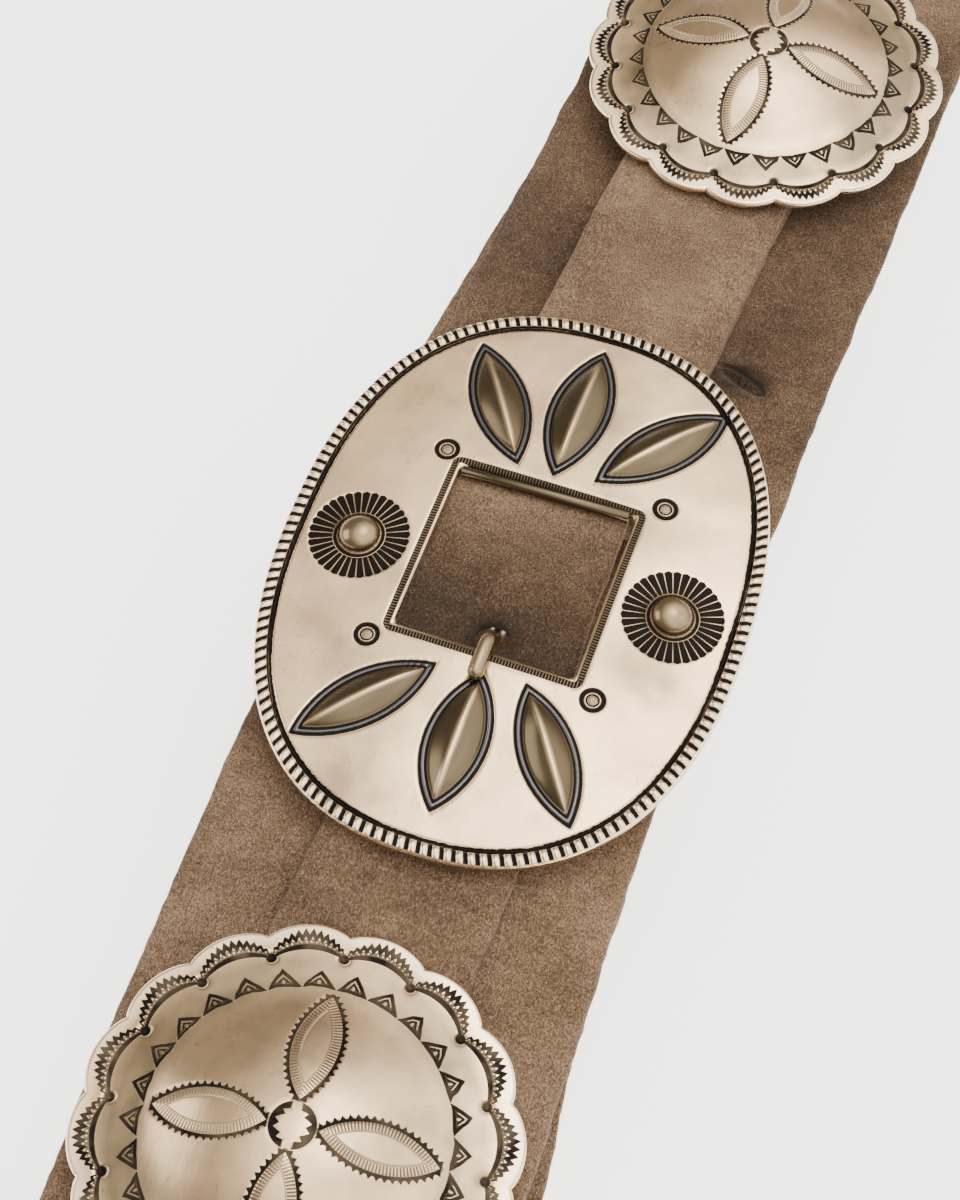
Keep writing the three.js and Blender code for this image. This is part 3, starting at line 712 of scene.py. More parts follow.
# %% [markdown]
# Seven conchos stand round the belt, each turned a little, as hands leave them. A disc is
# laid on the strap by the strap's own three directions. Points that carry no stamp, on
# the underside and the loop, are given a plain place on the dome.

# %% Conchos
PLAIN_PLACE = (0.0, 14.5, 0.0)


def concho(name, station, turn, straps):
    disc, rows = concho_mesh_points()
    points = np.concatenate([disc, [[0, 0, float(concho_top(0.0, 0.0))]], [[0, 0, float(dome_rise(0))]],
                             loop_points(straps)])
    faces = grid_faces(rows, AROUND).tolist()
    top_centre, low_centre = len(disc), len(disc) + 1
    faces += fan_faces(top_centre, range(AROUND), flip=True)
    faces += fan_faces(low_centre, range((rows - 1) * AROUND, rows * AROUND))
    first = low_centre + 1
    faces += loop_faces(first)
    face = points.copy()
    face[first:] = PLAIN_PLACE
    face[:len(disc)][disc[:, 2] < CONCHO_SHEET * 0.5] = PLAIN_PLACE
    origin, along, across, out = [v[0] for v in belt_frame(BACKING, station)]
    cos, sin = math.cos(turn), math.sin(turn)
    basis = np.stack([across * cos + along * sin, along * cos - across * sin, out])
    seat = origin + out * (CONCHO_SEAT + (straps - 1) * LAYER)
    piece = make_piece(name, points @ basis + seat, faces, {"face": face})
    piece.data.materials.append(concho_silver)
    return piece


CONCHO_ROWS = [(-0.02, 2), (0.04, 1), (-0.05, 1), (0.02, 1), (-0.03, 1), (0.05, 1), (0.08, 1)]
for number, (station, (turn, straps)) in enumerate(zip(CONCHO_STATIONS, CONCHO_ROWS), start=1):
    piece = concho(f"stamped_concho_{number}", station, turn, straps)
    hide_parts(f"concho_{number}")
    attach(piece, "root")
print("one concho has", len(piece.data.polygons), "faces")

# %% [markdown]
# The buckle is an oval plate, slightly crowned, with a square opening. A rolled edge is
# soldered on and filed across into notches, six almond shapes are punched up from behind
# and outlined with a chisel, and two rosettes are stamped round soldered bosses.

# %% Buckle sizes
HALF_WIDTH, HALF_LENGTH, OVAL_POWER = 46.8, 62.2, 2.35
PLATE, CROWN = 1.6, 2.5
RIM_WIDTH, RIM_RISE, GROOVE_WIDTH, GROOVE_DEPTH = 2.8, 0.9, 1.1, 0.4
OPEN_X, OPEN_Y, OPEN_CORNER = 18.3, 19.1, 1.6
OPEN_TURN = -0.026
NOTCHES, NOTCH_SLANT = 156, 0.08
BOSS_RADIUS, BOSS_HEIGHT, BOSS_RING, ROSETTE_RADIUS = 4.3, 2.9, 4.75, 10.1
LEFT_ROSETTE, RIGHT_ROSETTE = (-31.8, -1.8), (31.7, -0.4)
RING_STAMPS = [(-21.6, 22.3), (23.7, 22.4), (-22.7, -22.5), (22.4, -22.6)]
LEAF_BAND, LEAF_RIDGE = 1.05, 2.3
# root across, root along, tip across, tip along, and width, in millimetres
PLATE_LEAVES = [
    (-7.4, 23.6, -23.0, 49.8, 11.2), (0.4, 23.2, 1.3, 55.4, 12.0), (9.0, 24.4, 29.5, 48.3, 11.6),
    (-8.3, -24.8, -29.4, -45.9, 10.8), (0.9, -24.0, 0.5, -53.0, 11.8), (9.8, -23.7, 25.7, -48.0, 10.8),
]
print(f"buckle {2 * HALF_WIDTH:.0f} by {2 * HALF_LENGTH:.0f} mm with", len(PLATE_LEAVES), "almonds")

# %% [markdown]
# Every mark on the plate is placed by a distance: how far out towards the oval, how far
# from the opening, from a rosette or from an almond's outline. Points are spaced evenly
# along the oval, so that each notch gets the same number of them.

# %% Distances on the plate
def oval_share(x, y):
    across, along = np.abs(x) / HALF_WIDTH, np.abs(y) / HALF_LENGTH
    return (across ** OVAL_POWER + along ** OVAL_POWER) ** (1 / OVAL_POWER)


def plate_under(x, y):
    return CROWN * (1 - np.minimum(oval_share(x, y), 1.0) ** 2)


def oval_outline(count):
    """Angles whose points lie evenly along the oval."""
    fine = np.linspace(0, 2 * math.pi, 7201)
    reach = 1 / oval_share(np.cos(fine), np.sin(fine))
    x, y = reach * np.cos(fine), reach * np.sin(fine)
    run = np.concatenate([[0], np.cumsum(np.hypot(np.diff(x), np.diff(y)))])
    return np.interp(np.arange(count) / count * run[-1], run, fine), run[-1]


def opening_reach(angle):
    """How far the opening's rounded square reaches in each direction."""
    cos, sin = np.abs(np.cos(angle - OPEN_TURN)) + 1e-9, np.abs(np.sin(angle - OPEN_TURN)) + 1e-9
    reach = np.minimum(OPEN_X / cos, OPEN_Y / sin)
    cx, cy = OPEN_X - OPEN_CORNER, OPEN_Y - OPEN_CORNER
    corner = (reach * cos > cx) & (reach * sin > cy)
    middle = cos * cx + sin * cy
    inside = OPEN_CORNER ** 2 - (cx * cx + cy * cy - middle ** 2)
    return np.where(corner, middle + np.sqrt(np.maximum(inside, 0)), reach)


def in_opening_frame(x, y):
    """The same place, measured along the sides of the slightly turned opening."""
    cos, sin = math.cos(OPEN_TURN), math.sin(OPEN_TURN)
    return x * cos + y * sin, y * cos - x * sin


def rosette_distance(x, y):
    left = np.hypot(x - LEFT_ROSETTE[0], y - LEFT_ROSETTE[1])
    return np.minimum(left, np.hypot(x - RIGHT_ROSETTE[0], y - RIGHT_ROSETTE[1]))


def plate_leaf_distance(x, y):
    """Distance outside the nearest almond's outline, and aside from its ridge."""
    nearest, ridge = np.full(np.shape(x), FAR), np.full(np.shape(x), FAR)
    for *ends, width in PLATE_LEAVES:
        root, tip = np.array(ends[:2]), np.array(ends[2:])
        length = np.hypot(*(tip - root))
        along = (tip - root) / length
        arc, sink = arc_through(length / 2, width / 2)
        ahead = (x - root[0]) * along[0] + (y - root[1]) * along[1] - length / 2
        aside = (y - root[1]) * along[0] - (x - root[0]) * along[1]
        outside = np.hypot(ahead, np.abs(aside) + sink) - arc
        ridge = np.where(outside < nearest, aside, ridge)
        nearest = np.minimum(nearest, outside)
    return nearest, ridge


rim_angles, rim_length = oval_outline(NOTCHES * 6)
print(f"the oval is {rim_length:.0f} mm round, so a notch every {rim_length / NOTCHES:.2f} mm")

# %% [markdown]
# The height of the plate's face adds up from its parts: crown, rolled rim with its
# notches, groove, almonds, rosettes with bosses, ring stamps at the corners of the
# opening, and the curl at the opening's high edge where the strap slides under.

# %% Height of the plate
NOTCH_DEPTH, CHISEL_WIDTH, OUTLINE_DEPTH, INNER_DEPTH = 0.6, 0.3, 0.30, 0.32
LEAF_STEP, BOSS_RING_DEPTH, ROSETTE_DEPTH = 0.15, 0.35, 0.16
RING_DEPTH, INNER_RING_DEPTH, MILLED_DEPTH = 0.18, 0.14, 0.14
CURL_DROP, CURL_REACH, EDGE_DROP, EDGE_REACH = 1.3, 1.6, 0.25, 0.35


def plate_face(x, y, inset, turn, gate):
    height = PLATE + plate_under(x, y)
    roll = np.clip(1 - ((inset - RIM_WIDTH / 2) / (RIM_WIDTH / 2)) ** 2, 0, 1)
    height += RIM_RISE * np.sqrt(roll)
    notch = np.abs(np.mod(turn * NOTCHES + inset * NOTCH_SLANT, 1.0) - 0.5)
    on_rim = smoothstep(0.1, 0.7, inset) * smoothstep(RIM_WIDTH, 2.2, inset)
    height -= NOTCH_DEPTH * smoothstep(0.32, 0.16, notch) * on_rim
    groove = (inset - RIM_WIDTH - GROOVE_WIDTH / 2) / (GROOVE_WIDTH / 2)
    height -= GROOVE_DEPTH * np.clip(1 - groove ** 2, 0, 1)
    leaf, ridge = plate_leaf_distance(x, y)
    body = np.clip((-leaf - LEAF_BAND) / 5.0, 0, 1)
    height += LEAF_STEP * smoothstep(0.15, -0.35, leaf) + LEAF_RIDGE * body * (1.65 - 0.65 * body)
    height -= OUTLINE_DEPTH * np.exp(-((leaf - 0.15) / CHISEL_WIDTH) ** 2)
    height -= INNER_DEPTH * np.exp(-((leaf + LEAF_BAND) / CHISEL_WIDTH) ** 2)
    rose = rosette_distance(x, y)
    height += BOSS_HEIGHT * np.sqrt(np.clip(1 - (rose / BOSS_RADIUS) ** 2, 0, 1))
    height -= BOSS_RING_DEPTH * smoothstep(0.9, 0.3, np.abs(rose - BOSS_RING))
    on_rosette = smoothstep(5.2, 5.6, rose) * smoothstep(ROSETTE_RADIUS, ROSETTE_RADIUS - 0.5, rose)
    height -= ROSETTE_DEPTH * on_rosette
    ring = np.min([np.hypot(x - cx, y - cy) for cx, cy in RING_STAMPS], axis=0)
    height -= RING_DEPTH * smoothstep(2.6, 2.3, ring) * smoothstep(1.5, 1.8, ring)
    height -= INNER_RING_DEPTH * smoothstep(1.4, 1.25, ring) * smoothstep(0.85, 1.0, ring)
    height -= MILLED_DEPTH * smoothstep(0.45, 0.8, gate) * smoothstep(2.0, 1.7, gate)
    across, ahead = in_opening_frame(x, y)
    curl = smoothstep(OPEN_Y - 1.5, OPEN_Y, ahead) * smoothstep(OPEN_X, OPEN_X - 2.0, np.abs(across))
    height -= CURL_DROP * curl * np.clip(1 - gate / CURL_REACH, 0, 1) ** 1.6
    height -= EDGE_DROP * np.clip(1 - gate / EDGE_REACH, 0, 1)
    return height, leaf, ridge


print("plate height ready")

# %% [markdown]
# The plate's grid runs from the opening to the rim on top, and back again underneath. Its
# rows lie closer at the rim, where the notches are.

# %% Rows of the plate
RIM_ZONE, FACE_ROWS, RIM_ROWS = 5.6, 57, 25


def buckle_rows():
    angle = rim_angles
    outer = 1 / oval_share(np.cos(angle), np.sin(angle))
    inner = opening_reach(angle)
    shares = np.linspace(0, 1, FACE_ROWS + 1)[:-1]
    rows = [inner + (outer - RIM_ZONE - inner) * (share ** 0.9) for share in shares]
    rows += [outer - RIM_ZONE * (1 - step) for step in np.linspace(0, 1, RIM_ROWS)]
    return angle, outer, inner, np.array(rows)


def plate_underside(angle, outer, inner):
    """Rows from the rim's edge, under the plate, to the edge of the opening."""
    reaches = [(outer + 0.12, PLATE * 0.55), (outer - 0.1, 0.2), (outer - 0.6, 0.0)]
    reaches += [(inner + (outer - inner) * part, 0.0) for part in (0.75, 0.5, 0.25, 0.02)]
    reaches.append((inner, PLATE * 0.45))
    places = [(reach * np.cos(angle), reach * np.sin(angle), level) for reach, level in reaches]
    return np.array([np.stack([x, y, level + plate_under(x, y)], -1) for x, y, level in places])


print("plate has", FACE_ROWS + RIM_ROWS, "rows on its face")

# %% [markdown]
# The bar, its posts, the curl and the tongue are all round wire. Each is a tube through
# rings of points: along a bent line, across the belt, or upright.

# %% Round bars
def wire_between(points, radius, sides, taper):
    """A closed round bar along a list of points that lie in one plane across x."""
    ahead = np.gradient(points, axis=0)
    ahead /= np.linalg.norm(ahead, axis=1, keepdims=True)
    side = np.cross(ahead, [1.0, 0.0, 0.0])
    side /= np.linalg.norm(side, axis=1, keepdims=True)
    angle = np.arange(sides) * 2 * math.pi / sides
    ring = (radius * taper)[:, None, None] * (np.cos(angle)[None, :, None] * np.array([1.0, 0, 0])
                                              + np.sin(angle)[None, :, None] * side[:, None, :])
    return closed_tube(points[:, None, :] + ring, points[[0, -1]])


def bar_along_x(low, high, y, z, radius, sides=20):
    """A closed round bar across the belt, with softened ends."""
    soft = radius * 0.25
    stops = [(low, 0.75), (low + soft, 1.0), (high - soft, 1.0), (high, 0.75)]
    angle = np.arange(sides) * 2 * math.pi / sides
    rings = [[(x, y + radius * share * math.cos(a), z + radius * share * math.sin(a)) for a in angle]
             for x, share in stops]
    return closed_tube(np.array(rings), [(low, y, z), (high, y, z)])


def upright_post(x, y, low, high, radius, sides=16):
    """A closed upright round post."""
    angle = np.arange(sides) * 2 * math.pi / sides
    rings = [[(x + radius * math.cos(a), y + radius * math.sin(a), z) for a in angle]
             for z in np.linspace(low, high, 4)]
    return closed_tube(np.array(rings), [(x, y, low), (x, y, high)])


print("round bars ready")

# %% [markdown]
# Rosettes and rings are stamps too. A rosette is a wheel of wedges round the soldered
# boss, and a ring stamp is a wide ring, a thin one and a soft middle.

# %% Stamps of the buckle
RAYS, RAY_START, RAY_SPREAD, RAY_WAVE = 34, 5.3, 0.082, 0.7
ROSETTE_SIDE = (RIGHT_ROSETTE[0] - LEFT_ROSETTE[0]) / 2
ROSETTE_TILT = (RIGHT_ROSETTE[1] - LEFT_ROSETTE[1]) / 2
ROSETTE_LEVEL = (RIGHT_ROSETTE[1] + LEFT_ROSETTE[1]) / 2


def rosette_place(x, y):
    """Place measured from the nearer rosette's middle."""
    which = x.math("SIGN", x)
    side = x - which * ROSETTE_SIDE
    rise = y - (which * ROSETTE_TILT + ROSETTE_LEVEL)
    return side, rise, distance(side, rise)


def rosette_stamp(x, y):
    side, rise, radius = rosette_place(x, y)
    turn = rise.turn_from(side) * RAYS / (2 * math.pi)
    spoke = abs(turn.fraction() - 0.5)
    wedge = within(spoke * radius * (2 * math.pi / RAYS), radius * RAY_SPREAD - 0.02, 0.14)
    edge = ROSETTE_RADIUS - spoke * RAY_WAVE
    rays = wedge * band(radius, RAY_START) * band(edge - radius, 0.0)
    return darkest(rays, line(radius, BOSS_RING, 0.42, 0.25))


def ring_stamp(x, y):
    rings = []
    for cx, cy in RING_STAMPS:
        radius = distance(x - cx, y - cy)
        rings += [band(radius, 1.62, 2.6, 0.2), line(radius, 1.18, 0.18), within(radius, 0.85) * 0.55]
    return darkest(*rings)


print("rosette and ring stamps ready")

# %% [markdown]
# The buckle's finish reads values that its points carry: the place on the plate and the
# distance from the opening; the distance in from the rim and the direction round it; the
# distance from an almond's outline, the run along the opening's side and the distance
# aside from the almond's ridge. Limits on those distances draw the chiselled lines, and
# the almonds' hollows turn bronze or bluish where a polishing cloth can't reach. A bright
# streak along each almond's ridge is rubbed wear and a painted highlight.

# %% Buckle finish
BRONZE, STEEL = (0.088, 0.069, 0.042, 1), (0.055, 0.062, 0.074, 1)
TICK_PITCH = 0.62


def buckle_finish():
    finish = Finish("chiselled silver")
    x, y, gate = finish.attribute("face")
    inset, cos, sin = finish.attribute("edge")
    leaf, run, aside = finish.attribute("leaf")
    ragged = (finish.noise(900.0, 2.0, 0.6) - 0.5) * 0.55
    worn = finish.noise(60.0, 2.0, 0.5)
    groove = line(inset + ragged * 0.8, RIM_WIDTH + GROOVE_WIDTH / 2, 0.14 + worn * 0.65, 0.15)
    turn = sin.turn_from(cos) * (NOTCHES / (2 * math.pi)) + ragged * 0.15 + inset * NOTCH_SLANT
    notch = line(turn.fraction(), 0.5, 0.225, 0.10) * band(inset, 0.30, RIM_WIDTH - 0.1, 0.25)
    valley = line(inset, RIM_WIDTH, 0.2, 0.2)
    outline = line(leaf + ragged * 0.3, 0.12, 0.34, 0.2)
    inner_line = line(leaf, -LEAF_BAND, 0.26, 0.2)
    ticks = band((run / TICK_PITCH).fraction(), 0.32, 0.98, 0.15)
    milled = band(gate, 0.55, 1.85, 0.15) * (0.78 + ticks * 0.22)
    stamps = darkest(groove, notch, valley, outline, inner_line, milled,
                     rosette_stamp(x, y), ring_stamp(x, y))
    bluish = band(leaf, -LEAF_BAND, 0.0, 0.2)
    # bright streak along each almond's ridge: rubbed wear and a painted highlight
    ridge = ((0.85 - abs(aside)) / 0.8).clipped() * band(-leaf, LEAF_BAND + 1.2, FAR, 2.0)
    bronze = band(-leaf, LEAF_BAND, FAR, 0.6) * (1 - ridge * 0.85)
    boss = within(rosette_place(x, y)[2], BOSS_RADIUS, 0.3)
    toned = darkest(bluish * 0.95, bronze * 0.95, boss * 0.7)
    tone = finish.mix(bluish, BRONZE, STEEL)
    rolled = within(inset, RIM_WIDTH, 0.3)
    return silver_surface(finish, stamps, toned, tone, depth=0.18, hazy=0.25, polished=rolled)


chiselled_silver = buckle_finish()
print("buckle finish has", len(chiselled_silver.node_tree.nodes), "nodes")

# %% [markdown]
# The plate, the curl at the opening's high edge, and the bar with its two posts are
# soldered to each other, so they make one piece. Parts without stamps carry distances
# that lie beyond every limit, and the finish leaves them plain.

# %% Buckle
BAR_STATION, BAR_RADIUS, POST_THICKNESS, POST_GAP = 23.0, 1.5, 2.4, 0.6
BAR_HEIGHT = CARRIER_HEIGHT - CARRIER_THICKNESS / 2 - SEAT_GAP - BAR_RADIUS
CURL_RADIUS, WIRE_RADIUS = 1.1, 1.6
EYE_RADIUS = BAR_RADIUS + SEAT_GAP + WIRE_RADIUS
UNDER_VALUES = {"face": (81.0, 81.0, 9.0), "edge": (9.0, 1.0, 0.0), "leaf": (9.0, 9.0, 9.0)}
BAR_VALUES = {"face": (81.0, 81.0, 81.0), "edge": (9.0, 9.0, 9.0), "leaf": (-4.86, -4.86, -4.86)}


def plate_shell():
    """Points, faces and carried values of the plate."""
    angle, outer, inner, rows = buckle_rows()
    count = len(angle)
    x, y = rows * np.cos(angle), rows * np.sin(angle)
    inset = outer - rows
    turn = np.broadcast_to(np.arange(count) / count, rows.shape)
    across, ahead = in_opening_frame(x, y)
    gate = np.hypot(np.maximum(np.abs(across) - OPEN_X, 0), np.maximum(np.abs(ahead) - OPEN_Y, 0))
    gate[0] = 0.0
    height, leaf, ridge = plate_face(x, y, inset, turn, gate)
    low = plate_underside(angle, outer, inner)
    low[-1, :, 2] += height[0] - (PLATE + plate_under(x[0], y[0]))
    grid = np.concatenate([np.stack([x, y, height], -1), low])
    here, last_row = np.arange(count), (len(grid) - 1) * count
    beside = (here + 1) % count
    closing = np.stack([here + last_row, beside + last_row, beside, here], -1)
    faces = np.concatenate([grid_faces(len(grid), count), closing]).tolist()
    run = np.where(np.abs(x) / OPEN_X > np.abs(y) / OPEN_Y, y, x)
    turns = 2 * math.pi * turn
    carried = {"face": (x, y, gate), "edge": (inset, np.cos(turns), np.sin(turns)),
               "leaf": (leaf, run, ridge)}
    values = {key: np.concatenate([np.stack(value, -1).reshape(-1, 3),
                                   np.tile(UNDER_VALUES[key], (low.size // 3, 1))])
              for key, value in carried.items()}
    return grid.reshape(-1, 3), faces, values


def soldered_bars():
    """The bar, the curl and the two posts, each as points and faces."""
    inner_side = CARRIER_WIDTH / 2 + POST_GAP
    outer_side = inner_side + POST_THICKNESS
    bar_height = BAR_HEIGHT - PLATE_SEAT
    curl_height = PLATE + float(plate_under(0, OPEN_Y)) - CURL_RADIUS
    post_top = float(plate_under(outer_side, BAR_STATION)) + PLATE / 2
    bars = [bar_along_x(-outer_side, outer_side, BAR_STATION, bar_height, BAR_RADIUS),
            bar_along_x(-OPEN_X + 0.9, OPEN_X - 0.9, OPEN_Y - 0.35, curl_height, CURL_RADIUS, 28)]
    for side in (-1, 1):
        middle = side * (inner_side + outer_side) / 2
        bars.append(upright_post(middle, BAR_STATION, bar_height, post_top, POST_THICKNESS / 2))
    return bars


def buckle_piece():
    points, faces, values = plate_shell()
    for more_points, more_faces in soldered_bars():
        faces += [[i + len(points) for i in one] for one in more_faces]
        points = np.concatenate([points, more_points])
        for key, plain in BAR_VALUES.items():
            values[key] = np.concatenate([values[key], np.tile(plain, (len(more_points), 1))])
    world = points + ORIGIN + np.array([0, 0, UPPER_HEIGHT + PLATE_SEAT])
    piece = make_piece("oval_buckle", world, faces, values)
    piece.data.materials.append(chiselled_silver)
    return piece


buckle = buckle_piece()
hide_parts("buckle")
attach(buckle, "root")
print("buckle has", len(buckle.data.polygons), "faces")

# %% [markdown]
# The tongue is a thick round wire. It is bent into an eye round the hidden bar, runs
# under the strap, comes up through a punched hole and hooks over the low edge of the
# opening. A smooth curve through the bends of the measured solid gives its middle line.

# %% Route of the tongue
EYE_TURN, EYE_KNOTS, TONGUE_REACH, HOLE_STATION, HOLE_RADIUS = 240.0, 9, 26.5, 14.8, 3.5


def smooth_route(knots, per_span):
    """A smooth curve through a list of points."""
    knots = np.asarray(knots, float)
    padded = np.vstack([2 * knots[0] - knots[1], knots, 2 * knots[-1] - knots[-2]])
    pieces = []
    for i in range(len(knots) - 1):
        a, b, c, d = padded[i:i + 4]
        t = np.linspace(0, 1, per_span, endpoint=False)[:, None]
        pieces.append(0.5 * (2 * b + (c - a) * t + (2 * a - 5 * b + 4 * c - d) * t ** 2
                             + (3 * b - a - 3 * c + d) * t ** 3))
    return np.vstack(pieces + [knots[-1:]])


def tongue_route():
    bar = BAR_HEIGHT - PLATE_SEAT
    knots = []
    for share in np.linspace(0, 1, EYE_KNOTS):
        angle = math.pi / 2 - math.radians(EYE_TURN) * (1 - share)
        knots.append((BAR_STATION + EYE_RADIUS * math.cos(angle), bar + EYE_RADIUS * math.sin(angle)))
    shank = bar + EYE_RADIUS
    over = PLATE + float(plate_under(0, OPEN_Y)) + SEAT_GAP + WIRE_RADIUS
    knots += [(-HOLE_STATION + 8, shank), (-HOLE_STATION + 4, shank + 0.2),
              (-HOLE_STATION + 1.6, shank + 1.3), (-HOLE_STATION - 0.2, (shank + over) / 2 - 0.6),
              (-HOLE_STATION - 1.7, over - 2),
              (-OPEN_Y + 1.2, over - 0.2), (-OPEN_Y - 1.4, over + 0.3),
              (-(OPEN_Y + TONGUE_REACH) / 2 - 0.6, over + 0.2), (-TONGUE_REACH + WIRE_RADIUS, over),
              (-TONGUE_REACH, over - 0.1)]
    return smooth_route(knots, 6)


route_points = tongue_route()
print(f"tongue reaches {-route_points[:, 0].min():.1f} mm below the buckle's middle")

# %% [markdown]
# The wire keeps one thickness to its tip, which is filed round. It is worn but never
# polished, so it is browner than the plate, with small dark hollows.

# %% Tongue
WIRE_TONE, WIRE_TONED = (0.20, 0.15, 0.092, 1), 0.85


def tongue_piece():
    route = np.column_stack([np.zeros(len(route_points)), route_points])
    left = np.linalg.norm(route - route[-1], axis=1)
    taper = np.sqrt(np.clip(1 - (1 - np.clip(left / WIRE_RADIUS, 0, 1)) ** 2, 0.04, 1))
    points, faces = wire_between(route, WIRE_RADIUS, 24, taper)
    world = points + ORIGIN + np.array([0, 0, UPPER_HEIGHT + PLATE_SEAT])
    piece = make_piece("wire_tongue", world, faces)
    finish = Finish("worn silver wire")
    hollow = above(finish.noise(420.0, 3.0, 0.7), 0.60, 8.0) * 0.5
    piece.data.materials.append(silver_surface(finish, hollow, WIRE_TONED, WIRE_TONE, depth=0.05, hazy=0.28))
    return piece


tongue = tongue_piece()
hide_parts("tongue")
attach(tongue, "root")
print("tongue has", len(tongue.data.polygons), "faces")

# %% [markdown]
# Suede is leather with its fibres brushed up. Seen close it is mottled taupe with fine
# darker and lighter flecks, no gloss, and a soft sheen at a low angle. Noise at five
# scales gives the nap its colour, from large patches to single fibres, and the finer
# ones lift it a little. Painted shade darkens it by the amount that each point carries.

# %% Suede
SUEDE_TONES = [
    (0.02, (0.022, 0.013, 0.007, 1)), (0.35, (0.088, 0.053, 0.029, 1)),
    (0.60, (0.165, 0.102, 0.060, 1)), (0.98, (0.38, 0.26, 0.165, 1)),
]
# how far the painted shade darkens the suede
PAINTED_SHADE_DEPTH = 0.5


def suede_finish():
    finish = Finish("taupe suede")
    patch = finish.noise(24.0, 3.0, 0.55)
    mottle = finish.noise(330.0, 3.0, 0.6)
    nap = finish.noise(3000.0, 3.0, 0.8, stretch=(1.0, 0.6, 1.0))
    fleck = finish.noise(5600.0, 2.0, 0.8)
    brushed = finish.noise(420.0, 3.0, 0.7, stretch=(0.35, 1.0, 1.0))
    # painted shade: the amount each point carries darkens the suede
    painted_shade = finish.attribute("painted_shade")[0]
    tone = 0.5 - painted_shade * PAINTED_SHADE_DEPTH
    for layer, weight in ((patch, 0.9), (mottle, 0.25), (nap, 1.9), (fleck, 1.9), (brushed, 0.28)):
        tone = tone + (layer - 0.5) * weight
    colour = finish.node("ShaderNodeValToRGB", {"stops": SUEDE_TONES}, Fac=tone.clipped())
    height = nap * 0.30 + fleck * 0.12 + mottle * 0.15
    return finish.surface(Base_Color=colour, Roughness=0.95, Specular_IOR_Level=0.12, Sheen_Weight=0.12,
                          Sheen_Roughness=0.5, Normal=finish.bump(height))


suede = suede_finish()
print("suede finish has", len(suede.node_tree.nodes), "nodes")

# %% [markdown]
# A strap is swept as one closed skin: at each station a section with slightly rounded
# edges, whose width wanders a little because the leather was cut by hand. The wide strap
# ends under the buckle and has a short slit beside the tail.

# %% Straps
EDGE_SOFTNESS, EDGE_INSET, SIDE_DROP, EDGE_BAND = 0.45, 0.08, 0.3, 6
LONG_WANDER, SHORT_WANDER, SWELL = 0.28, 0.16, 0.10


def strap_section(width, thickness, top_count, low_count):
    """Across and out offsets of a section."""
    half, up = width / 2, thickness / 2
    flat, near = half - EDGE_SOFTNESS, half - EDGE_INSET
    top, low = np.linspace(-flat, flat, top_count), np.linspace(flat, -flat, low_count)
    across = np.concatenate([top, [near, half, near], low, [-near, -half, -near]])
    out = np.concatenate([np.full(top_count, up), [up - SIDE_DROP, 0, -up + SIDE_DROP],
                          np.full(low_count, -up), [-up + SIDE_DROP, 0, up - SIDE_DROP]])
    return across, out


def strap_piece(name, route, column, width, thickness, seed, top_count, low_count, sag=0.0, narrow=None):
    stations, heights = route[:, 0], route[:, 1]
    point, along, across, out = belt_frame(column, stations)
    centre = point + heights[:, None] * out
    ahead = np.gradient(centre, axis=0)
    ahead /= np.linalg.norm(ahead, axis=1, keepdims=True)
    face = np.cross(across, ahead)
    face /= np.linalg.norm(face, axis=1, keepdims=True)
    run = np.concatenate([[0], np.cumsum(np.linalg.norm(np.diff(centre, axis=0), axis=1))])
    side, rise = strap_section(width, thickness, top_count, low_count)
    wander = [LONG_WANDER * smooth_noise(seed + k, run[-1], 9.0, run)
              + SHORT_WANDER * smooth_noise(seed + 5 + k, run[-1], 2.2, run) for k in (1, 2)]
    if narrow is not None:
        wander[0] = wander[0] - narrow(stations)
    near_edge = np.clip((np.abs(side) - width / 2 + EDGE_BAND) / EDGE_BAND, 0, 1)
    shift = np.where(side[None, :] > 0, wander[0][:, None], wander[1][:, None]) * near_edge[None, :]
    upper = (face[:, 2] > 0.9).astype(float)[:, None] * sag
    droop = -upper * (np.abs(side[None, :]) / (width / 2)) ** 3
    wave = SWELL * smooth_noise(seed + 20, run[-1], 14.0, run)
    swell = droop + wave[:, None] * np.cos(side / width * 5.0)[None, :]
    points = (centre[:, None, :] + (side[None, :] + shift)[..., None] * across[:, None, :]
              + (rise[None, :] + swell)[..., None] * face[:, None, :])
    piece = make_piece(name, *closed_tube(points, [points[0].mean(0), points[-1].mean(0)]))
    piece.data.materials.append(suede)
    edges = [points[:, np.argmax(side)], points[:, np.argmin(side)]]
    return piece, edges, across, face


BACKING_END_HIGH, BACKING_END_LOW = 30.0, 26.0
backing_route = np.arange(BACKING_END_HIGH, LOOP - BACKING_END_LOW + 0.01, 1.9)
backing_route = np.column_stack([backing_route, np.zeros_like(backing_route)])
backing, backing_edges, backing_across, backing_out = strap_piece(
    "wide_suede_strap", backing_route, BACKING, BACKING_WIDTH, BACKING_THICKNESS, 11, 44, 14, sag=1.6)
print("wide strap has", len(backing.data.polygons), "faces")

# %% [markdown]
# The narrow strap starts as a flap under the wide one, turns round the buckle's bar,
# goes round the whole belt over the wide strap and through the loops of the conchos,
# rises through the opening over the tongue's shank, and ends as the tail under the
# first concho. Its route is a list of stations and heights, resampled and eased.

# %% Narrow strap
FLAP_END, TAIL_END, WRAP_STEPS, DRAWN_IN, RAMP = 46.0, 160.0, 12, 1.9, 12
WRAP_RADIUS = BAR_RADIUS + SEAT_GAP + CARRIER_THICKNESS / 2


def loop_rise(station):
    """How far the strap is lifted, with a ramp on both sides of every loop."""
    nearest = np.min([np.abs(station - at) for at in CONCHO_STATIONS]
                     + [np.abs(station - LOOP - at) for at in CONCHO_STATIONS], axis=0)
    return LOOP_LIFT * np.clip((RAMP + STRIP_WIDTH / 2 + 1 - nearest) / RAMP, 0, 1)


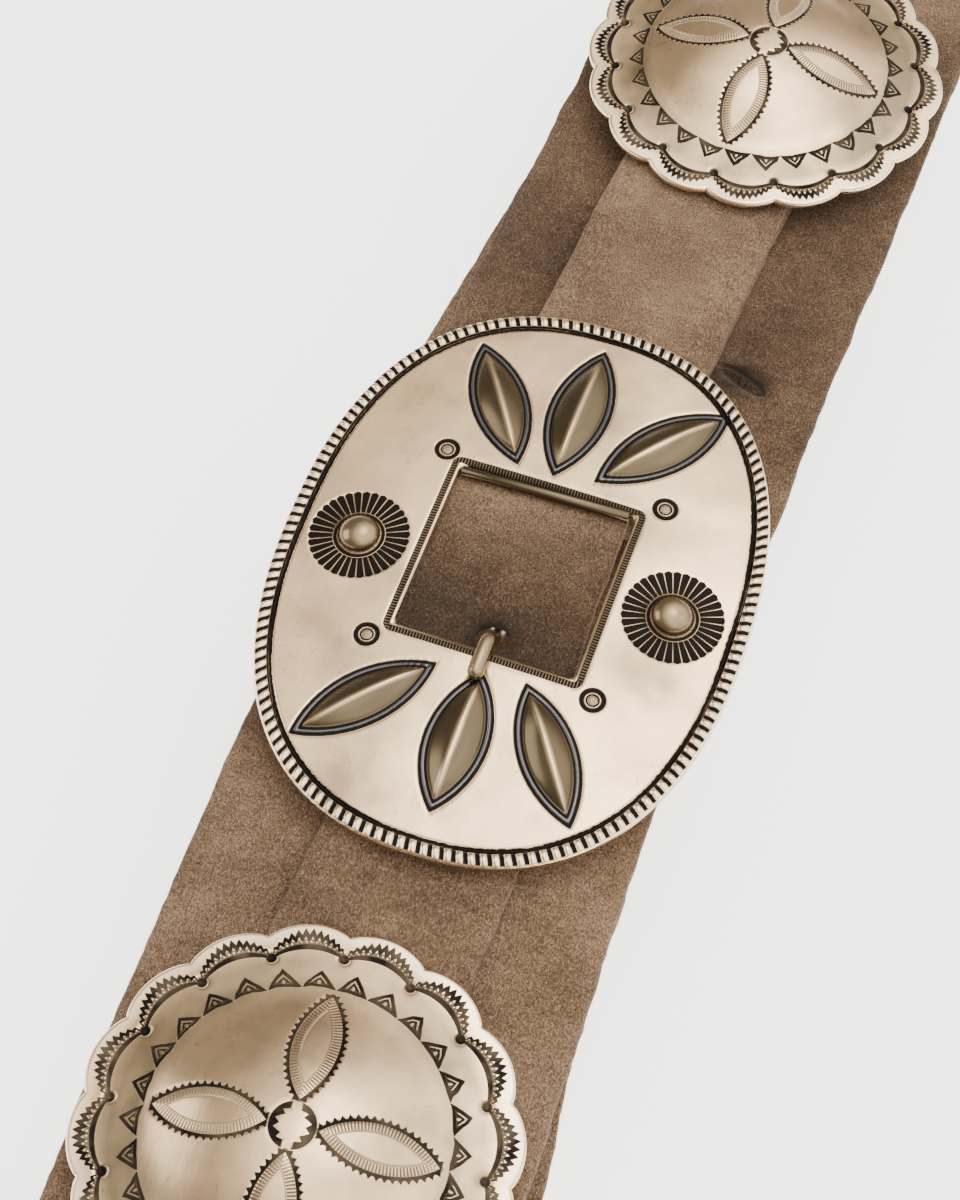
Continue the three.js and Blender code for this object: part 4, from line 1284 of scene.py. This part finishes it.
def carrier_route():
    flap = -BACKING_TOP - SEAT_GAP - CARRIER_THICKNESS / 2
    knots = [(FLAP_END, flap), (FLAP_END - 10, flap), (BAR_STATION + 4, BAR_HEIGHT - WRAP_RADIUS)]
    for i in range(WRAP_STEPS + 1):
        angle = -math.pi / 2 - math.pi * i / WRAP_STEPS
        knots.append((BAR_STATION + WRAP_RADIUS * math.cos(angle),
                      BAR_HEIGHT + WRAP_RADIUS * math.sin(angle)))
    last_of_wrap = len(knots) - 1
    main = np.arange(BAR_STATION + 7, LOOP - HALF_LENGTH, 2.0)
    knots += list(zip(main, CARRIER_HEIGHT + loop_rise(main)))
    under = PLATE_SEAT + float(plate_under(CARRIER_WIDTH / 2, OPEN_Y + 5))
    opening = under - SEAT_GAP - CARRIER_THICKNESS / 2
    over_eye = BAR_HEIGHT + EYE_RADIUS + WIRE_RADIUS + SEAT_GAP + CARRIER_THICKNESS / 2
    knots += [(LOOP - OPEN_Y - 5, opening - 0.15), (LOOP - OPEN_Y + 1, opening), (LOOP - 5, opening),
              (LOOP + OPEN_Y - 7, (opening + over_eye) / 2), (LOOP + BAR_STATION + 1, over_eye + 0.1),
              (LOOP + BAR_STATION + 13, TAIL_HEIGHT + 0.3)]
    tail = np.arange(BAR_STATION + 21, TAIL_END, 2.0)
    knots += list(zip(LOOP + tail, TAIL_HEIGHT + loop_rise(tail)))
    knots = np.array(knots)
    run = np.concatenate([[0], np.cumsum(np.hypot(*np.diff(knots, axis=0).T))])
    wrap_end = run[last_of_wrap]
    dense = np.concatenate([np.arange(0, wrap_end, 0.7), np.arange(wrap_end, run[-1], 1.7)])
    return np.column_stack([np.interp(dense, run, knots[:, 0]), np.interp(dense, run, knots[:, 1])])


def narrower_in_opening(station):
    """The strap's right edge draws in where it passes through the opening."""
    return DRAWN_IN * smoothstep(LOOP - 26, LOOP - 12, station) * smoothstep(LOOP + 34, LOOP + 22, station)


carrier, carrier_edges, carrier_across, carrier_out = strap_piece(
    "narrow_suede_strap", carrier_route(), CARRIER, CARRIER_WIDTH, CARRIER_THICKNESS, 41, 26, 10,
    sag=0.25, narrow=narrower_in_opening)
print("narrow strap has", len(carrier.data.polygons), "faces")

# %% [markdown]
# Holes are cut last, with a Boolean modifier whose result is applied: the punched hole
# for the tongue, the slot for its eye where the strap turns round the bar, and the slit
# in the wide strap. The cutters are plain closed shapes that are deleted again.

# %% Holes
def cutter(name, bottom, top, outline):
    """A closed prism over an outline of x and y, in millimetres."""
    count = len(outline)
    points = [(x, y, bottom) for x, y in outline] + [(x, y, top) for x, y in outline]
    faces = [tuple(range(count))[::-1], tuple(range(count, 2 * count))]
    faces += [(i, (i + 1) % count, count + (i + 1) % count, count + i) for i in range(count)]
    return make_piece(name, np.array(points), faces, smooth=False)


def cut_away(piece, tool):
    modifier = piece.modifiers.new("hole", "BOOLEAN")
    modifier.operation, modifier.object, modifier.solver = "DIFFERENCE", tool, "EXACT"
    bpy.context.view_layer.objects.active = piece
    with bpy.context.temp_override(object=piece, active_object=piece):
        bpy.ops.object.modifier_apply(modifier=modifier.name)
    bpy.data.objects.remove(tool, do_unlink=True)


def oval(cx, cy, half_length, half_width, turn, count=24):
    angle = np.arange(count) * 2 * math.pi / count
    cos, sin = math.cos(turn), math.sin(turn)
    long, short = half_length * np.cos(angle), half_width * np.sin(angle)
    return [(cx + u * cos - v * sin, cy + u * sin + v * cos) for u, v in zip(long, short)]


hole_height = UPPER_HEIGHT + PLATE_SEAT
hole = oval(ORIGIN[0], ORIGIN[1] - HOLE_STATION, HOLE_RADIUS, HOLE_RADIUS * 0.92, 0.3)
cut_away(carrier, cutter("punch", hole_height - 3.0, hole_height + 4.0, hole))
slot_side, eye_reach = WIRE_RADIUS + 1.0, EYE_RADIUS + WIRE_RADIUS + 0.6
slot = [(ORIGIN[0] + a * slot_side, ORIGIN[1] + BAR_STATION + b * eye_reach)
        for a, b in ((-1, -1), (1, -1), (1, 1), (-1, 1))]
cut_away(carrier, cutter("eye_slot", UPPER_HEIGHT + BAR_HEIGHT - eye_reach - 1,
                         UPPER_HEIGHT + BAR_HEIGHT + EYE_RADIUS + WIRE_RADIUS + SEAT_GAP / 2, slot))
SLIT_STATION, SLIT_SIDE, SLIT_LENGTH, SLIT_WIDTH, SLIT_TURN = 64.4, 22.4, 12.0, 3.6, -0.33
slit_point, _, slit_across, _ = [v[0] for v in belt_frame(BACKING, SLIT_STATION)]
slit_middle = slit_point + slit_across * SLIT_SIDE
heading = math.atan2(slit_across[1], slit_across[0])
slit = oval(slit_middle[0], slit_middle[1], SLIT_LENGTH / 2, SLIT_WIDTH / 2, heading + SLIT_TURN)
cut_away(backing, cutter("slit", UPPER_HEIGHT - 3, UPPER_HEIGHT + 3, slit))
print("hole, slot and slit are cut")

# %% [markdown]
# Painted shade darkens the suede above the buckle and in the opening, where the narrow
# strap is pulled through, and the suede is also darker round the slit. Each point of the
# upper run carries how dark it is, worked out from its place after the holes are cut.

# %% Painted shade on the suede
ABOVE_BUCKLE, ROUND_SLIT, IN_OPENING, ROUND_HOLE = 0.45, 0.8, 0.75, 0.4


def painted_shade(piece, darkness):
    """Store how much painted shade each point of the upper run gets, from its place along the belt."""
    place = np.zeros(len(piece.data.vertices) * 3)
    piece.data.vertices.foreach_get("co", place)
    x, y, z = (place.reshape(-1, 3) / MM - ORIGIN).T
    layer = piece.data.attributes.new("painted_shade", "FLOAT_VECTOR", "POINT")
    layer.data.foreach_set("vector", np.outer(darkness(x, y) * (z > FOLD_HEIGHT), [1, 0, 0]).ravel())


def shade_above_buckle(x, y):
    """The wide strap is darker above the buckle, as painted shade, and most of all round its slit."""
    slit_x, slit_y, _ = slit_middle - ORIGIN
    near_slit = smoothstep(8.5, 3.5, np.hypot(x - slit_x, (y - slit_y) * 1.6))
    return ABOVE_BUCKLE * smoothstep(36, 50, y) * smoothstep(190, 150, y) + ROUND_SLIT * near_slit


def shade_in_opening(x, y):
    """Painted shade on the narrow strap in the opening, darkest round the tongue's hole."""
    pierced = smoothstep(6.5, 3.8, np.hypot(x, y + HOLE_STATION))
    return (IN_OPENING * smoothstep(30, -18, y) + ROUND_HOLE * pierced) * smoothstep(-30, -22, y)


# painted shade on the upper run of both straps
painted_shade(backing, shade_above_buckle)
painted_shade(carrier, shade_in_opening)
for piece, node in ((backing, "backing_strap"), (carrier, "carrier_strap")):
    piece.data.polygons.foreach_set("use_smooth", [True] * len(piece.data.polygons))
    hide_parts(node)
    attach(piece, "root")
print("straps after cutting:", len(backing.data.polygons), len(carrier.data.polygons), "faces")

# %% [markdown]
# The cut edges of suede are never clean: short fibres stand out of them. Each fibre is a
# tiny closed spike, thousands of them joined in one mesh, leaning at random away from
# the edge. The random numbers are seeded, so every run grows the same fuzz.

# %% Fuzz on the cut edges
FIBRE_SHORT, FIBRE_LONGER, FIBRE_ROOT = 0.25, 0.75, 0.12
THIRDS = (0, 2.094, 4.189)


def fuzz_piece(name, edges, across, face, per_mm, seed):
    random = np.random.default_rng(seed)
    bases, tips = [], []
    for edge, side in zip(edges, (1, -1)):
        spacing = np.linalg.norm(np.diff(edge, axis=0), axis=1)
        run = np.concatenate([[0], np.cumsum(spacing)])
        count = int(run[-1] * per_mm)
        place = np.sort(random.uniform(0, run[-1], count))
        at = np.column_stack([np.interp(place, run, edge[:, k]) for k in range(3)])
        index = np.clip(np.searchsorted(run, place), 0, len(edge) - 1)
        up = face[index] * random.uniform(-0.8, 0.8, (count, 1))
        ahead = np.cross(face[index], across[index]) * random.uniform(-1.3, 1.3, (count, 1))
        lean = side * across[index] + 0.8 * up + ahead
        lean /= np.linalg.norm(lean, axis=1, keepdims=True)
        length = FIBRE_SHORT + FIBRE_LONGER * random.uniform(0, 1, (count, 1)) ** 2.2
        root = at + face[index] * random.uniform(-0.7, 0.7, (count, 1))
        bases.append(root - side * across[index] * FIBRE_ROOT)
        tips.append(bases[-1] + lean * length)
    base, tip = np.vstack(bases), np.vstack(tips)
    lean = (tip - base) / np.linalg.norm(tip - base, axis=1, keepdims=True)
    side = np.cross(lean, random.normal(size=lean.shape))
    side /= np.linalg.norm(side, axis=1, keepdims=True)
    other = np.cross(lean, side)
    thick = random.uniform(0.03, 0.055, (len(base), 1))
    corners = [base + thick * (math.cos(a) * side + math.sin(a) * other) for a in THIRDS]
    points = np.stack([*corners, tip], 1).reshape(-1, 3)
    first = np.arange(len(base))[:, None] * 4
    faces = np.concatenate([first + np.array(one) for one in ((0, 2, 1), (0, 1, 3), (1, 2, 3), (2, 0, 3))])
    piece = make_piece(name, points, faces.tolist(), smooth=False)
    piece.data.materials.append(suede)
    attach(piece, "root")
    return piece


fuzz = fuzz_piece("wide_strap_fuzz", backing_edges, backing_across, backing_out, 4.0, 7)
narrow_fuzz = fuzz_piece("narrow_strap_fuzz", carrier_edges, carrier_across, carrier_out, 3.0, 8)
print("fuzz fibres:", (len(fuzz.data.polygons) + len(narrow_fuzz.data.polygons)) // 4)

# %% [markdown]
# The belt lies on a wide pale floor that glows a little, so that only faint shadows show
# beside the straps. It is marked as staging, because it isn't part of the belt.

# %% Floor
FLOOR_REACH, FLOOR_GLOW = 20000.0, 2.2


def floor():
    corners = FLOOR_REACH * np.array([(-1, -1, 0), (1, -1, 0), (1, 1, 0), (-1, 1, 0)])
    piece = make_piece("pale_floor", corners, [(0, 1, 2, 3)], smooth=False)
    finish = Finish("pale paper")
    tone = finish.noise(3.0, 2.0, 0.5)
    colour = finish.mix(tone * 0.3, (0.86, 0.86, 0.865, 1), (0.84, 0.84, 0.845, 1))
    piece.data.materials.append(finish.surface(Base_Color=colour, Roughness=0.9, Specular_IOR_Level=0.1,
                                               Emission_Color=(1, 1, 1, 1), Emission_Strength=FLOOR_GLOW))
    piece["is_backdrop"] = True
    return piece


floor()
print("floor laid")

# %% [markdown]
# Silver shows what stands around it, so the light does half the work. The room is a
# bright soft ceiling, a little uneven, that fades to a dim brown near the walls: flat
# faces mirror the ceiling, and steep faces turn bronze. One softbox overhead and one on
# the left give the light a direction and leave their highlights on the domes.

# %% Light
LAMP_COLOUR = (1.0, 0.97, 0.93)
WALL_COLOUR, CEILING_COLOUR = (0.95, 0.84, 0.71, 1), (1.0, 0.965, 0.92, 1)
CEILING_MIDDLE, CEILING_START, CEILING_SPAN = (0.45, 0.10, 0.88), 0.34, 0.56
CEILING_STRENGTH, CEILING_UNEVEN, WALL_STRENGTH = 2.8, 5.0, 0.55


def softbox(name, place, size, power):
    """A rectangular lamp that looks at the middle of the scene."""
    lamp = bpy.data.lights.new(name, "AREA")
    lamp.shape, lamp.size, lamp.size_y = "RECTANGLE", size[0], size[1]
    lamp.energy, lamp.color = power, LAMP_COLOUR
    holder = bpy.data.objects.new(name, lamp)
    holder.location = place
    holder.rotation_euler = (-Vector(place)).to_track_quat("-Z", "Y").to_euler()
    bpy.context.scene.collection.objects.link(holder)


def room(world):
    finish = Finish("room", world)
    way = finish.node("ShaderNodeTexCoord", output=0)
    aim = Vector(CEILING_MIDDLE).normalized()
    toward = finish.node("ShaderNodeVectorMath", {"operation": "DOT_PRODUCT"}, output=1, _0=way, _1=aim)
    uneven = finish.node("ShaderNodeTexNoise", Vector=way, Scale=3.4, Detail=2.0, Roughness=0.5)
    height = ((toward - CEILING_START) / CEILING_SPAN).clipped()
    ceiling = height * height * (3 - height * 2)
    strength = ceiling * (CEILING_STRENGTH + (uneven - 0.5) * CEILING_UNEVEN) + WALL_STRENGTH
    colour = finish.mix(ceiling, WALL_COLOUR, CEILING_COLOUR)
    light = finish.node("ShaderNodeBackground", Color=colour, Strength=strength)
    finish.node("ShaderNodeOutputWorld", _0=light)


softbox("overhead_softbox", (0.22, 0.62, 1.75), (0.8, 0.8), 8.0)
softbox("left_softbox", (-1.45, -0.15, 0.85), (1.0, 0.8), 9.0)
world = bpy.data.worlds.new("studio")
room(world)
bpy.context.scene.world = world
print("lights set")

# %% [markdown]
# The camera stands where the photographer stood, worked out from the belt's own sizes:
# tipped 30 degrees from straight down and turned 18 degrees, so the belt runs up to the
# right. Its long side is 36 mm of film.

# %% Camera
TILT, TURN_ROUND = 0.519818, -0.319388
PICTURE_HEIGHT, FILM_SIDE, FOCAL_PIXELS = 1200, 36.0, 2311.65
CAMERA_DISTANCE, FOCAL = 449.83, FOCAL_PIXELS / PICTURE_HEIGHT * FILM_SIDE
CAMERA_SIDE, CAMERA_DROP = -7.0, -5.03
PHOTO_PLANE = UPPER_HEIGHT + PLATE_SEAT + PLATE

sin_turn, cos_turn = math.sin(TURN_ROUND), math.cos(TURN_ROUND)
sin_tilt, cos_tilt = math.sin(TILT), math.cos(TILT)
back = Vector((-sin_turn * sin_tilt, -cos_turn * sin_tilt, cos_tilt))
up = Vector((sin_turn * cos_tilt, cos_turn * cos_tilt, sin_tilt))
right = up.cross(back)
camera_data = bpy.data.cameras.new("photographer")
camera_data.lens = FOCAL
camera_data.sensor_width = FILM_SIDE
camera_data.sensor_fit = "AUTO"
camera_data.clip_end = 50.0
camera = bpy.data.objects.new("photographer", camera_data)
centre = Vector(ORIGIN.tolist()) + Vector((0, 0, PHOTO_PLANE))
place = centre + right * CAMERA_SIDE + up * CAMERA_DROP + back * CAMERA_DISTANCE
camera.matrix_world = Matrix.Translation(place * MM) @ Matrix((right, up, back)).transposed().to_4x4()
bpy.context.scene.collection.objects.link(camera)
bpy.context.scene.camera = camera
print("camera at", [round(v, 3) for v in camera.location])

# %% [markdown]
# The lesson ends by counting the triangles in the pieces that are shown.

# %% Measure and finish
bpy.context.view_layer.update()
meshes = [piece.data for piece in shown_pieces() if piece.type == "MESH"]
triangles = sum(len(face.vertices) - 2 for mesh in meshes for face in mesh.polygons)
print("triangles in the pieces:", triangles)
